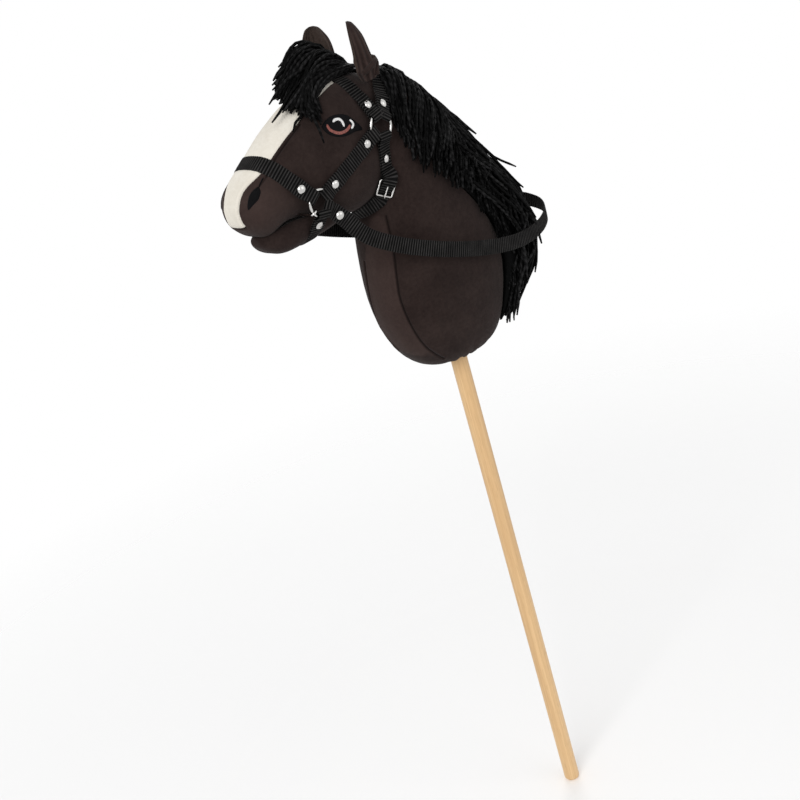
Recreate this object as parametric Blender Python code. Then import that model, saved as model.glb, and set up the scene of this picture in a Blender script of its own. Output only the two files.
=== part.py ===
"""A hobby horse: a stuffed cloth head and neck with a yarn mane and a riveted webbing bridle, on a
round wooden stick.

Metres, +Z up along the stick. The origin is the middle of the stick's bottom face, the horse faces -X
and its left side is -Y. Heights named ..._HEIGHT or in a table of stations are measured from the
bottom of the neck, which moves with the length of the stick below it.
"""

import math

import bmesh
import bpy
from mathutils import Matrix, Vector
from mathutils.bvhtree import BVHTree

# Fits
GAP = 0.0003

# Stick
STICK_DIAMETER = 0.0200
STICK_BELOW_NECK = 0.6420
STICK_IN_NECK = 0.2300
STICK_END_ROUND = 0.0050
CAP_WALL = 0.0015
CAP_LENGTH = 0.0200
TIE_HEIGHT = 0.0100
TIE_WIDTH = 0.0060
TIE_THICKNESS = 0.0022

# Neck: height, front and rear reach from the stick's axis, half width
NECK_SQUARENESS = 2.25
NECK_STATIONS = (
    (0.0000, -0.028, 0.034, 0.021),
    (0.0050, -0.046, 0.052, 0.031),
    (0.0160, -0.062, 0.065, 0.039),
    (0.0380, -0.079, 0.079, 0.046),
    (0.0700, -0.090, 0.090, 0.052),
    (0.1050, -0.094, 0.095, 0.055),
    (0.1400, -0.092, 0.093, 0.055),
    (0.1750, -0.087, 0.086, 0.053),
    (0.2100, -0.080, 0.075, 0.050),
    (0.2450, -0.073, 0.060, 0.047),
    (0.2800, -0.066, 0.042, 0.044),
    (0.3100, -0.060, 0.025, 0.040),
    (0.3300, -0.054, 0.010, 0.033),
    (0.3420, -0.044, -0.006, 0.022),
)

# Head: distance ahead of the stick's axis, height of its top and bottom, half width
HEAD_SQUARENESS = 2.35
HEAD_STATIONS = (
    (0.018, 0.330, 0.262, 0.020),
    (0.028, 0.342, 0.244, 0.031),
    (0.045, 0.349, 0.226, 0.038),
    (0.065, 0.352, 0.215, 0.043),
    (0.085, 0.352, 0.211, 0.046),
    (0.105, 0.349, 0.212, 0.047),
    (0.125, 0.344, 0.218, 0.0455),
    (0.145, 0.336, 0.226, 0.042),
    (0.165, 0.326, 0.232, 0.0385),
    (0.185, 0.313, 0.235, 0.036),
    (0.205, 0.300, 0.235, 0.035),
    (0.220, 0.291, 0.2365, 0.033),
    (0.230, 0.281, 0.242, 0.027),
    (0.237, 0.269, 0.253, 0.013),
)

# Lower jaw: distance ahead of the stick's axis, height of its top and bottom, half width
JAW_SQUARENESS = 2.1
JAW_STATIONS = (
    (0.100, 0.236, 0.216, 0.012),
    (0.118, 0.238, 0.209, 0.021),
    (0.138, 0.240, 0.206, 0.025),
    (0.160, 0.242, 0.205, 0.027),
    (0.182, 0.242, 0.205, 0.027),
    (0.200, 0.240, 0.208, 0.024),
    (0.213, 0.237, 0.215, 0.018),
    (0.221, 0.233, 0.223, 0.008),
)

# Webbing straps
STRAP_WIDTH = 0.0170
STRAP_THICKNESS = 0.0014
STRAP_LAY = 0.0011
LAYER_GAP = 0.0003
WIRE_FIT = 0.0005
TURN_BACK = 0.0210
FOLD_SETTLES = 0.0056
FOLD_STEPS = 6
PINCH_REACH = 0.0100
MEET_REACH = 0.0140
STRAP_STEP = 0.0040
POINT_APART = 0.0010

# Rings: distance ahead of the stick's axis and height of their middles
RING_WIRE = 0.0030
RING_RADIUS = 0.0135
LOWER_RING = (0.1580, 0.2470)
UPPER_RING = (0.0600, 0.2940)
RING_PINCH = 0.0080
WIRE_OVER_LAY = STRAP_THICKNESS + WIRE_FIT + RING_WIRE / 2

# Rivets
RIVET_CAP = 0.0090
RIVET_DOME = 0.0022
RIVET_SHANK = 0.0026
RIVET_FLANGE = 0.0052
RIVET_FLANGE_THICK = 0.0005
RIVET_FIT = 0.0003
HOLE_PAST = 0.0020
RIVET_FLAT = 0.0066
RIVET_FROM_WIRE = 0.0124

# Routes of the straps in the side view, from their rings: ahead of the stick's axis, height
NOSEBAND_ROUTE = (LOWER_RING, (0.1730, 0.2660), (0.1900, 0.2915), (0.1990, 0.3045))
CHIN_ROUTE = (LOWER_RING, (0.1605, 0.2300), (0.1650, 0.2050))
BROWBAND_ROUTE = (UPPER_RING, (0.0640, 0.3150), (0.0690, 0.3360), (0.0715, 0.3520))
CROWN_ROUTE = (UPPER_RING, (0.0420, 0.3150), (0.0280, 0.3340), (0.0160, 0.3470))
THROAT_ROUTE = (UPPER_RING, (0.0590, 0.2620), (0.0585, 0.2460), (0.0705, 0.2190), (0.0800, 0.2135),
                (0.0950, 0.2100), (0.0960, 0.2000))
REIN_TURN = math.radians(-45)

# Buckle on the left throat strap
BUCKLE_FROM_RING = 0.0480
BUCKLE_LENGTH = 0.0165
BUCKLE_WIRE = 0.0020
BUCKLE_SIDE_ROOM = 0.0006
BUCKLE_CORNER = 0.0020
BUCKLE_TIP = 0.0130
TONGUE_WIRE = 0.0016
TONGUE_FIT = 0.00025
TONGUE_PAST_BAR = 0.0015
TONGUE_SIDE_ROOM = 0.0005
TONGUE_SLOT = (0.0010, 0.0135)
THROAT_RIVET_FROM_WIRE = 0.0230
LOOP_FROM_BENDS = 0.0060
UNDER_BAR_FROM = 0.0030
FLAT_PAST_BARS = 0.0025
PAST_HINGE = 0.0020
STEP_DOWN = 0.0065
STEP_RISE = 0.0006
HINGE_SLOT_ROOM = 0.0016
HINGE_SLOT_SHIFT = 0.0004
SLOT_CUT = 0.0160

# Bit
BIT_WIRE = 0.0024
BIT_TURN = math.radians(205)
BIT_HOOK = 240

# Ears: height along the ear, radius of its cup, degrees that the cup wraps to each side of its back
EAR_AHEAD = 0.0470
EAR_APART = 0.0680
EAR_SINK = 0.0120
EAR_FOOT = max(row[1] for row in HEAD_STATIONS) - EAR_SINK
EAR_LEAN_AHEAD = 0.09
EAR_LEAN_OUT = -0.08
EAR_FACING = math.radians(-35)
EAR_DEPTH = 0.70
EAR_THICKNESS = 0.0030
EAR_THINS_BELOW = 0.0060
EAR_HOLLOW = 0.0004
EAR_STATIONS = (
    (0.0000, 0.0075, 150),
    (0.0090, 0.0120, 140),
    (0.0200, 0.0148, 125),
    (0.0320, 0.0145, 112),
    (0.0440, 0.0130, 104),
    (0.0530, 0.0095, 98),
    (0.0590, 0.0058, 92),
    (0.0615, 0.0025, 90),
)

# Patches of cloth and thread on the face
PATCH_LAY = 0.0004
PATCH_THICKNESS = 0.0008
EYE_FRONT = (0.1275, 0.3170)
EYE_REAR = (0.0855, 0.3045)
EYE_HALF_HEIGHT = 0.0105
NOSTRIL_TOP = (0.2090, 0.2890)
NOSTRIL_TAIL = (0.2295, 0.2660)
NOSTRIL_HALF_WIDTH = 0.0050

# Blaze: half width against distance ahead of the stick's axis, down to the lip
BLAZE_CORE = (0.1500, 0.2750)
BLAZE_TURNS = (133, -18)
BLAZE_STEP = 0.0085
BLAZE_COLUMNS = 7
BLAZE_LIP_HEIGHT = 0.2700
BLAZE_HALVES = (
    (0.080, 0.0165),
    (0.110, 0.023),
    (0.150, 0.026),
    (0.190, 0.023),
    (0.203, 0.0225),
    (0.213, 0.020),
    (0.222, 0.0165),
    (0.230, 0.0135),
    (0.240, 0.0125),
)

# Mane: height, where its edges lie along the neck, thickness at the crest
MANE_ROOT = 0.0030
MANE_EDGE = 0.0030
MANE_COLUMNS = 11
MANE_STATIONS = (
    (0.326, -0.002, 0.0045),
    (0.312, -0.012, 0.008),
    (0.290, -0.018, 0.012),
    (0.262, -0.022, 0.017),
    (0.232, -0.020, 0.023),
    (0.203, 0.006, 0.031),
    (0.174, 0.030, 0.041),
    (0.143, 0.053, 0.048),
    (0.117, 0.062, 0.050),
    (0.089, 0.064, 0.048),
    (0.062, 0.058, 0.040),
    (0.038, 0.052, 0.024),
    (0.020, 0.050, 0.009),
)

# Forelock: ahead of the stick's axis, height, half width and half thickness
FORELOCK_LAY = 0.0026
FORELOCK_STATIONS = (
    (0.038, 0.350, 0.010, 0.006),
    (0.047, 0.362, 0.014, 0.008),
    (0.063, 0.371, 0.020, 0.010),
    (0.086, 0.371, 0.026, 0.011),
    (0.108, 0.362, 0.031, 0.010),
    (0.124, 0.352, 0.033, 0.008),
    (0.137, 0.341, 0.031, 0.006),
    (0.147, 0.331, 0.025, 0.004),
)

# Rein: rearward of the stick's axis, out from the middle, height on the left side and on the right
REIN_STEP = 0.0080
REIN_RIVET_FROM_WIRE = 0.0152
REIN_START = 0.0120
REIN_ROUTE = (
    (-0.118, 0.0480, 0.1965, 0.2040),
    (-0.090, 0.0545, 0.1755, 0.1890),
    (-0.055, 0.0600, 0.1565, 0.1735),
    (-0.010, 0.0640, 0.1370, 0.1550),
    (0.040, 0.0640, 0.1200, 0.1375),
    (0.085, 0.0600, 0.1100, 0.1290),
    (0.125, 0.0520, 0.1085, 0.1280),
    (0.155, 0.0380, 0.1120, 0.1275),
    (0.173, 0.0190, 0.1160, 0.1250),
    (0.178, 0.0000, 0.1200, 0.1200),
)

# Finding the cloth under straps and patches
FAR_OUT = 0.3000
HIT_FROM = 0.0300
NEAR_CLOTH = 0.0040
STEEPEST_TILT = 0.5000
SWEEP_START = -0.1500
SWEEP_END = 1.1500
SWEEP_STEPS = 72
CORE_SHARE = 0.3500
PAST_RING = 0.0060
SLOPE_REACH = 0.0040


def clear_scene():
    for thing in list(bpy.data.objects):
        bpy.data.objects.remove(thing, do_unlink=True)


def face_out(bm):
    """Turns the faces of a closed skin outwards."""
    bmesh.ops.recalc_face_normals(bm, faces=bm.faces)
    if bm.calc_volume(signed=True) < 0:
        bmesh.ops.reverse_faces(bm, faces=bm.faces)
    return bm


def skin(rings, closed=False):
    """A skin through rings of equally many points, closed with a lid on each end or round on itself."""
    bm = bmesh.new()
    rows = [[bm.verts.new(point) for point in ring] for ring in rings]
    count = len(rows[0])
    pairs = list(zip(rows, rows[1:]))
    if closed:
        pairs.append((rows[-1], rows[0]))
    for low, high in pairs:
        for i in range(count):
            j = (i + 1) % count
            bm.faces.new((low[i], low[j], high[j], high[i]))
    if not closed:
        bm.faces.new(rows[0])
        bm.faces.new(rows[-1])
    return face_out(bm)


def on_curve(u, a, b, c, d):
    """The value at a share u of the way from b to c, on a smooth curve through a, b, c and d."""
    square = 2 * a - 5 * b + 4 * c - d
    cube = 3 * b - a - 3 * c + d
    return 0.5 * (2 * b + (c - a) * u + square * u**2 + cube * u**3)


def smooth_rows(rows, per_span):
    """The rows with more between them, on a smooth curve through each."""
    dense = []
    last = len(rows) - 1
    for i in range(last):
        near = [rows[max(0, min(last, i + k))] for k in (-1, 0, 1, 2)]
        for step in range(per_span):
            dense.append(tuple(on_curve(step / per_span, *values) for values in zip(*near)))
    dense.append(rows[last])
    return dense


def squared_circle(turn, squareness):
    """A point of a circle that the squareness draws towards its square."""
    c, s = math.cos(turn), math.sin(turn)
    power = 2 / squareness
    return math.copysign(abs(c) ** power, c), math.copysign(abs(s) ** power, s)


def neck_ring(row, grow, sides):
    height, front, rear, half = row
    middle = (front + rear) / 2
    reach = (rear - front) / 2 + grow
    ring = []
    for i in range(sides):
        c, s = squared_circle(math.tau * i / sides, NECK_SQUARENESS)
        ring.append(Vector((middle + reach * c, (half + grow) * s, STICK_BELOW_NECK + height)))
    return ring


def head_ring(row, grow, sides, squareness):
    ahead, top, bottom, half = row
    middle = (top + bottom) / 2
    reach = (top - bottom) / 2 + grow
    ring = []
    for i in range(sides):
        c, s = squared_circle(math.tau * i / sides, squareness)
        ring.append(Vector((-ahead, (half + grow) * s, STICK_BELOW_NECK + middle + reach * c)))
    return ring


def neck_shape(grow=0.0):
    rows = smooth_rows(NECK_STATIONS, 2)
    rings = [neck_ring(row, grow, 32) for row in rows]
    for ring, shift in ((rings[0], -grow), (rings[-1], grow)):
        for point in ring:
            point.z += shift
    return skin(rings)


def head_shape(grow=0.0):
    rows = smooth_rows(HEAD_STATIONS, 2)
    rings = [head_ring(row, grow, 28, HEAD_SQUARENESS) for row in rows]
    for ring, shift in ((rings[0], grow), (rings[-1], -grow)):
        for point in ring:
            point.x += shift
    return skin(rings)


def jaw_shape(grow=0.0):
    rows = smooth_rows(JAW_STATIONS, 2)
    rings = [head_ring(row, grow, 20, JAW_SQUARENESS) for row in rows]
    for ring, shift in ((rings[0], grow), (rings[-1], -grow)):
        for point in ring:
            point.x += shift
    return skin(rings)


def material(name, colour, roughness, metallic=0.0):
    made = bpy.data.materials.new(name)
    made.use_nodes = True
    shader = made.node_tree.nodes["Principled BSDF"]
    shader.inputs["Base Color"].default_value = (*colour, 1)
    shader.inputs["Roughness"].default_value = roughness
    shader.inputs["Metallic"].default_value = metallic
    return made


def piece(name, bm, finish, smooth=True):
    """An object of the mesh, with its faces turned outwards."""
    face_out(bm)
    mesh = bpy.data.meshes.new(name)
    bm.to_mesh(mesh)
    bm.free()
    if smooth:
        mesh.shade_smooth()
        mesh.set_sharp_from_angle(angle=math.radians(40))
    made = bpy.data.objects.new(name, mesh)
    mesh.materials.append(finish)
    bpy.context.scene.collection.objects.link(made)
    return made


def cut(target, *shapes):
    """Takes the shapes away from the target, and leaves no cutter behind."""
    for bm in shapes:
        face_out(bm)
        mesh = bpy.data.meshes.new("cutter")
        bm.to_mesh(mesh)
        bm.free()
        cutter = bpy.data.objects.new("cutter", mesh)
        bpy.context.scene.collection.objects.link(cutter)
        change = target.modifiers.new("cut", "BOOLEAN")
        change.operation = "DIFFERENCE"
        change.solver = "EXACT"
        change.object = cutter
        deps = bpy.context.evaluated_depsgraph_get()
        made = bpy.data.meshes.new_from_object(target.evaluated_get(deps), depsgraph=deps)
        target.modifiers.remove(change)
        old = target.data
        target.data = made
        made.name = target.name
        bpy.data.meshes.remove(old)
        bpy.data.objects.remove(cutter, do_unlink=True)
        bpy.data.meshes.remove(mesh)
    return target


def turned(profile, steps=24, at=Matrix.Identity(4)):
    """A solid of revolution about Z of (radius, height) points, whose ends lie on the axis."""
    bm = bmesh.new()
    line = [bm.verts.new((radius, 0, height)) for radius, height in profile]
    edges = [bm.edges.new(pair) for pair in zip(line, line[1:])]
    bmesh.ops.spin(
        bm,
        geom=line + edges,
        cent=(0, 0, 0),
        axis=(0, 0, 1),
        angle=math.tau,
        steps=steps,
        use_merge=True,
    )
    bmesh.ops.remove_doubles(bm, verts=bm.verts, dist=1e-6)
    bmesh.ops.transform(bm, matrix=at, verts=bm.verts)
    return face_out(bm)


def arc(centre, radius, start, end, steps):
    """Points of an arc in a profile, its angles in degrees."""
    return [
        (
            centre[0] + radius * math.cos(math.radians(start + (end - start) * i / steps)),
            centre[1] + radius * math.sin(math.radians(start + (end - start) * i / steps)),
        )
        for i in range(steps + 1)
    ]


def axes_at(origin, x_axis, y_axis, z_axis):
    """The matrix that puts a shape's own axes on these, at the origin."""
    return Matrix(
        (
            (x_axis[0], y_axis[0], z_axis[0], origin[0]),
            (x_axis[1], y_axis[1], z_axis[1], origin[1]),
            (x_axis[2], y_axis[2], z_axis[2], origin[2]),
            (0, 0, 0, 1),
        )
    )


def mirrored(bm):
    """The same shape on the horse's other side."""
    other = bm.copy()
    bmesh.ops.transform(other, matrix=Matrix.Scale(-1, 4, (0, 1, 0)), verts=other.verts)
    return face_out(other)


def tube(path, radius, sides, closed=False, up=Vector((0, 1, 0))):
    """A round wire along the path, which may not run along the up direction that its section starts from."""
    rings = []
    count = len(path)
    for i, point in enumerate(path):
        if closed:
            ahead = (path[(i + 1) % count] - path[i - 1]).normalized()
        else:
            ahead = (path[min(i + 1, count - 1)] - path[max(i - 1, 0)]).normalized()
        first = (up - ahead * up.dot(ahead)).normalized()
        second = ahead.cross(first)
        turns = [math.tau * k / sides for k in range(sides)]
        rings.append([point + radius * (math.cos(a) * first + math.sin(a) * second) for a in turns])
    return skin(rings, closed)


class Form:
    """What the straps and patches lie on: the skins of the soft forms, hit by straight lines."""

    def __init__(self, shapes):
        self.trees = []
        for bm in shapes:
            self.trees.append(BVHTree.FromBMesh(bm))
            bm.free()

    def add(self, made):
        bm = bmesh.new()
        bm.from_mesh(made.data)
        self.trees.append(BVHTree.FromBMesh(bm))
        bm.free()

    def hit(self, start, ahead, reach=0.5):
        """The first point that a line meets, and the skin's direction there."""
        best = None
        for tree in self.trees:
            place, normal, _, distance = tree.ray_cast(start, ahead, reach)
            if place is not None and (best is None or distance < best[2]):
                best = (place, normal, distance)
        return best


class Lane:
    """The way that a strap takes: points a step apart, each with the strap's outward and side directions."""

    def __init__(self, points, sides, outward_hint):
        self.points = points
        self.sides = sides
        self.outward_hint = outward_hint
        self.measure()

    def measure(self):
        """Works out the directions and distances from the points."""
        count = len(self.points)
        pts = self.points
        along = [(pts[min(i + 1, count - 1)] - pts[max(i - 1, 0)]).normalized() for i in range(count)]
        self.sides = [(side - t * side.dot(t)).normalized() for side, t in zip(self.sides, along)]
        self.outward = [t.cross(side).normalized() for t, side in zip(along, self.sides)]
        middle = count // 2
        if self.outward[middle].dot(self.outward_hint(pts[middle])) < 0:
            self.outward = [-n for n in self.outward]
        self.reaches = [0.0]
        for a, b in zip(pts, pts[1:]):
            self.reaches.append(self.reaches[-1] + (b - a).length)
        self.length = self.reaches[-1]

    def rest_on(self, form, width, lay):
        """Tilts and lifts each stretch until the strap's whole width lies on the form."""
        shares = (-1.0, -0.5, 0.0, 0.5, 1.0)
        heights = []
        for point, side, n in zip(self.points, self.sides, self.outward):
            row = []
            for share in shares:
                met = form.hit(point + side * share * width / 2 + n * HIT_FROM, -n, 2 * HIT_FROM)
                row.append((met[0] - point).dot(n) if met else -HIT_FROM)
            heights.append(row)
        count = len(heights)
        tilts = []
        for row in heights:
            lies = max(row) > -NEAR_CLOTH
            slope = (row[-1] - row[0]) / width if lies else 0.0
            tilts.append(max(-STEEPEST_TILT, min(STEEPEST_TILT, slope)))
        tilts = spread(tilts, 2)
        for i in range(count):
            near_end = min(i, count - 1 - i) * STRAP_STEP
            tilts[i] *= ease((near_end - 0.5 * FOLD_SETTLES) / (1.5 * FOLD_SETTLES))
        lifts = []
        for row, tilt in zip(heights, tilts):
            lifts.append(max(0.0, max(h + lay - tilt * share * width / 2 for h, share in zip(row, shares))))
        lifts = spread([max(lifts[max(0, i - 1) : i + 2]) for i in range(count)], 1)
        lifts[0] = lifts[-1] = 0.0
        self.points = [p + n * lift for p, n, lift in zip(self.points, self.outward, lifts)]
        self.sides = [(s + n * tilt).normalized() for s, n, tilt in zip(self.sides, self.outward, tilts)]
        self.measure()
        self.even_out()
        return self

    def even_out(self):
        """Rounds the corners of the way a little, and sets its points evenly."""
        pts = self.points
        inner = [(a + b * 2 + c) / 4 for a, b, c in zip(pts, pts[1:], pts[2:])]
        self.points = [pts[0]] + inner + [pts[-1]]
        self.measure()
        frames = [self.frame(reach) for reach in even_steps(self.length, STRAP_STEP)]
        self.points = [place for place, _, _ in frames]
        self.sides = [side for _, side, _ in frames]
        self.measure()

    def meet(self, wire, at_end):
        """Bends the first or last stretch until the wire's middle lies over its end, at a fold's height."""
        index = -1 if at_end else 0
        for _ in range(6):
            miss = wire - (self.points[index] + self.outward[index] * WIRE_OVER_LAY)
            for i, reach in enumerate(self.reaches):
                away = self.length - reach if at_end else reach
                self.points[i] = self.points[i] + miss * max(0.0, 1 - away / MEET_REACH)
            self.measure()
        return self

    def flatten(self, middle, half, form=None, reach_out=0.0, out=0.0):
        """Makes a stretch flat and straight, clear of its own curve, as a rivet or a buckle presses it.

        With a form it is lifted until the form comes no higher than out over it, as wide as reach_out.
        """
        place, side, _ = self.frame(middle)
        along = (self.frame(middle + half)[0] - self.frame(middle - half)[0]).normalized()
        side = (side - along * side.dot(along)).normalized()
        outward = along.cross(side)
        if outward.dot(self.frame(middle)[2]) < 0:
            outward.negate()
        chosen = [i for i, reach in enumerate(self.reaches) if abs(reach - middle) <= half]
        lift = max([0.0] + [(self.points[i] - place).dot(outward) for i in chosen])
        for i in chosen if form else ():
            for across in (-reach_out, 0.0, reach_out):
                start = place + along * (self.reaches[i] - middle) + side * across + outward * HIT_FROM
                met = form.hit(start, -outward, 2 * HIT_FROM)
                lift = max(lift, (met[0] - start).dot(outward) + HIT_FROM - out) if met else lift
        for i in chosen:
            self.points[i] = place + along * (self.reaches[i] - middle) + outward * lift
            self.sides[i] = side
        self.measure()
        return self

    def between(self, start, end):
        """The distances of the lane's own points from its start, those between the two."""
        return [reach for reach in self.reaches if start < reach < end]

    def frame(self, reach):
        """Place and directions at a distance from the start, carried straight on past either end."""
        i = 0
        while i < len(self.reaches) - 2 and self.reaches[i + 1] < reach:
            i += 1
        span = self.reaches[i + 1] - self.reaches[i]
        u = (reach - self.reaches[i]) / span
        held = max(0.0, min(1.0, u))
        place = self.points[i].lerp(self.points[i + 1], u)
        side = self.sides[i].lerp(self.sides[i + 1], held).normalized()
        outward = self.outward[i].lerp(self.outward[i + 1], held)
        outward = (outward - side * outward.dot(side)).normalized()
        return place, side, outward

    def at(self, reach, across, out):
        place, side, outward = self.frame(reach)
        return place + side * across + outward * out


def spread(values, reach):
    """Each value's mean with its neighbours."""
    made = []
    for i in range(len(values)):
        near = values[max(0, i - reach) : i + reach + 1]
        made.append(sum(near) / len(near))
    return made


def even_steps(length, step):
    count = max(2, round(length / step))
    return [length * i / count for i in range(count + 1)]


def thinned(points, step):
    """Points a step apart along a line of straight stretches, both its ends kept."""
    total = sum((b - a).length for a, b in zip(points, points[1:]))
    wanted = even_steps(total, step)
    made = []
    walked = 0.0
    stretches = [(a, b, (b - a).length) for a, b in zip(points, points[1:])]
    index = 0
    for reach in wanted:
        while index < len(stretches) - 1 and walked + stretches[index][2] < reach:
            walked += stretches[index][2]
            index += 1
        a, b, size = stretches[index]
        made.append(a.lerp(b, min(1.0, (reach - walked) / size) if size else 0.0))
    return made


def taut(points):
    """The points that a tight strap touches, of flat points in the order of a left turn."""
    chain = []
    for point in points:
        while len(chain) > 1:
            a, b = chain[-2], chain[-1]
            turn = (b[0] - a[0]) * (point[1] - b[1]) - (b[1] - a[1]) * (point[0] - b[0])
            if turn > 0:
                break
            chain.pop()
        chain.append(point)
    return chain


def route_value(route, height):
    """Distance ahead of the stick's axis on a route of (ahead, height) points, carried on past its ends."""
    rising = route[-1][1] > route[0][1]
    points = route if rising else tuple(reversed(route))
    i = 0
    while i < len(points) - 2 and points[i + 1][1] < height:
        i += 1
    (a, low), (b, high) = points[i], points[i + 1]
    return a + (b - a) * (height - low) / (high - low)


def girth_lane(form, route, ring_y, over):
    """The lane of a strap from the right ring to the left one, over the head or under it.

    The route is its line in the side view, from the rings to the middle of the head, as (ahead, height).
    """
    ring_ahead, ring_height = route[0]
    turn = 1 if over else -1
    core = ring_height + CORE_SHARE * (route[-1][1] - ring_height)
    flat = []
    for k in range(1, SWEEP_STEPS):
        angle = math.pi * (SWEEP_START + (SWEEP_END - SWEEP_START) * k / SWEEP_STEPS)
        ray = (math.cos(angle), turn * math.sin(angle))
        height = ring_height
        met = None
        for _ in range(12):
            ahead = route_value(route, height)
            start = Vector((-ahead, FAR_OUT * ray[0], STICK_BELOW_NECK + core + FAR_OUT * ray[1]))
            met = form.hit(start, Vector((0, -ray[0], -ray[1])), FAR_OUT)
            if met is None:
                break
            found = met[0].z - STICK_BELOW_NECK
            height += 0.6 * (found - height)
        if met is not None:
            y, z = met[0].y + STRAP_LAY * ray[0], height + STRAP_LAY * ray[1]
            if turn * (z - ring_height) >= PAST_RING:
                flat.append((y, turn * z))
    slant = Vector((route[1][0] - ring_ahead, route[1][1] - ring_height)).normalized()
    anchor = ring_y - WIRE_OVER_LAY
    lift = RING_RADIUS * slant.y
    start = (anchor, turn * (ring_height + lift))
    end = (-anchor, turn * (ring_height + lift))
    chain = taut([start] + flat + [end])
    points = [Vector((-route_value(route, turn * z), y, STICK_BELOW_NECK + turn * z)) for y, z in chain]
    points = thinned(points, STRAP_STEP)
    sides = []
    for point in points:
        height = point.z - STICK_BELOW_NECK
        rise = route_value(route, height + SLOPE_REACH) - route_value(route, height - SLOPE_REACH)
        slope = rise / (2 * SLOPE_REACH)
        sides.append(Vector((1, 0, slope)).normalized())
    middle_point = Vector((-route[-1][0], 0, STICK_BELOW_NECK + core))
    lane = Lane(points, sides, lambda p: p - middle_point).rest_on(form, STRAP_WIDTH, STRAP_LAY)
    wire = at_side(ring_ahead + RING_RADIUS * slant.x, ring_height + lift, ring_y)
    return lane.meet(wire, False).meet(Vector((wire.x, -wire.y, wire.z)), True)


def side_lane(form, low, high, low_y, high_y):
    """The lane of a strap on the left cheek, from the lower ring to the upper one."""
    start = Vector((-low[0], 0, STICK_BELOW_NECK + low[1]))
    end = Vector((-high[0], 0, STICK_BELOW_NECK + high[1]))
    ahead = (end - start).normalized()
    total = (end - start).length
    flat = []
    steps = 30
    for k in range(1, steps):
        reach = RING_RADIUS + (total - 2 * RING_RADIUS) * k / steps
        met = form.hit(start + ahead * reach + Vector((0, -FAR_OUT, 0)), Vector((0, 1, 0)), FAR_OUT)
        if met is not None:
            flat.append((-reach, -met[0].y + STRAP_LAY))
    first = (-RING_RADIUS, low_y - WIRE_OVER_LAY)
    last = (RING_RADIUS - total, high_y - WIRE_OVER_LAY)
    chain = taut([first] + flat + [last])
    points = thinned([start + ahead * -reach + Vector((0, -y, 0)) for reach, y in chain], STRAP_STEP)
    side = ahead.cross(Vector((0, 1, 0))).normalized()
    lane = Lane(points, [side] * len(points), lambda p: Vector((0, -1, 0)))
    lane.rest_on(form, STRAP_WIDTH, STRAP_LAY)
    first_wire = start + ahead * RING_RADIUS + Vector((0, -low_y, 0))
    last_wire = end - ahead * RING_RADIUS + Vector((0, -high_y, 0))
    return lane.meet(first_wire, False).meet(last_wire, True)


def ribbon(lane, path, pinch=(), closed=False, grow=0.0):
    """A strap of even thickness whose middle follows (reach, out) points of the lane.

    Each pinch is (True where the strap ends in it, reach), where a ring draws the strap together.
    """
    count = len(path)
    rings = []
    for i, (reach, out) in enumerate(path):
        before = path[i - 1] if closed or i else path[i]
        after = path[(i + 1) % count] if closed or i + 1 < count else path[i]
        size = math.hypot(after[0] - before[0], after[1] - before[1])
        thick = (-(after[1] - before[1]) / size, (after[0] - before[0]) / size)
        half = STRAP_WIDTH / 2 + grow / 2
        for ends_here, place in pinch:
            away = (place - reach) if ends_here else (reach - place)
            pinched = RING_PINCH + (STRAP_WIDTH - RING_PINCH) * ease((away - POINT_APART) / PINCH_REACH)
            half = min(half, pinched / 2)
        ring = []
        for across, up in ((1, 1), (-1, 1), (-1, -1), (1, -1)):
            ring.append(
                lane.at(
                    reach + up * thick[0] * (STRAP_THICKNESS + grow) / 2,
                    across * half,
                    out + up * thick[1] * (STRAP_THICKNESS + grow) / 2,
                )
            )
        rings.append(ring)
    strap = skin(rings, closed)
    bmesh.ops.triangulate(strap, faces=strap.faces)
    return strap


def ease(share):
    held = max(0.0, min(1.0, share))
    return held * held * (3 - 2 * held)


def over_fold(distance, wire_radius):
    """How high the outer layer's middle lies at a distance from its bend.

    It comes down from the wire onto the inner layer, and past that layer's end onto the cloth.
    """
    top = STRAP_THICKNESS / 2 + 2 * (wire_radius + WIRE_FIT + STRAP_THICKNESS / 2)
    doubled = STRAP_THICKNESS * 1.5 + LAYER_GAP
    single = STRAP_THICKNESS / 2
    if distance < FOLD_SETTLES:
        return doubled + (top - doubled) * ease(1 - distance / FOLD_SETTLES)
    return single + (doubled - single) * ease(1 - (distance - TURN_BACK - POINT_APART) / FOLD_SETTLES)


def bend(wire_radius, slack):
    """A strap's bend round a wire as (distance, out), from under it to over it, past it by the slack."""
    radius = wire_radius + WIRE_FIT + STRAP_THICKNESS / 2
    middle = STRAP_THICKNESS / 2 + radius
    turns = [math.pi * k / FOLD_STEPS for k in range(FOLD_STEPS + 1)]
    path = [(-slack - radius * math.sin(a), middle - radius * math.cos(a)) for a in turns]
    for share in (0.0, 0.28, 0.55) if slack else (0.28, 0.55):
        path.append((share * FOLD_SETTLES, over_fold(share * FOLD_SETTLES, wire_radius)))
    return path


def ring_slack():
    """How far a bend of the pinched width must pass a ring's wire, which curves away from it."""
    return RING_RADIUS - math.sqrt(RING_RADIUS**2 - (RING_PINCH / 2) ** 2)


def turned_back(lane, at_end):
    """The (reach, out) points of a strap's folded end, from its inner layer's tip to its outer layer."""
    length = lane.length
    if at_end:
        near = lane.between(length - TURN_BACK + POINT_APART, length - 2 * POINT_APART)
        own = [length - reach for reach in reversed(near)]
    else:
        own = lane.between(2 * POINT_APART, TURN_BACK - POINT_APART)
    path = [(distance, STRAP_THICKNESS / 2) for distance in [TURN_BACK] + own[::-1]]
    path += bend(RING_WIRE / 2, ring_slack())
    return [(length - distance, out) for distance, out in path] if at_end else path


def with_place(reaches, place):
    """The distances with one at the place, and none right beside it."""
    return sorted([reach for reach in reaches if abs(reach - place) > POINT_APART] + [place])


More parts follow.
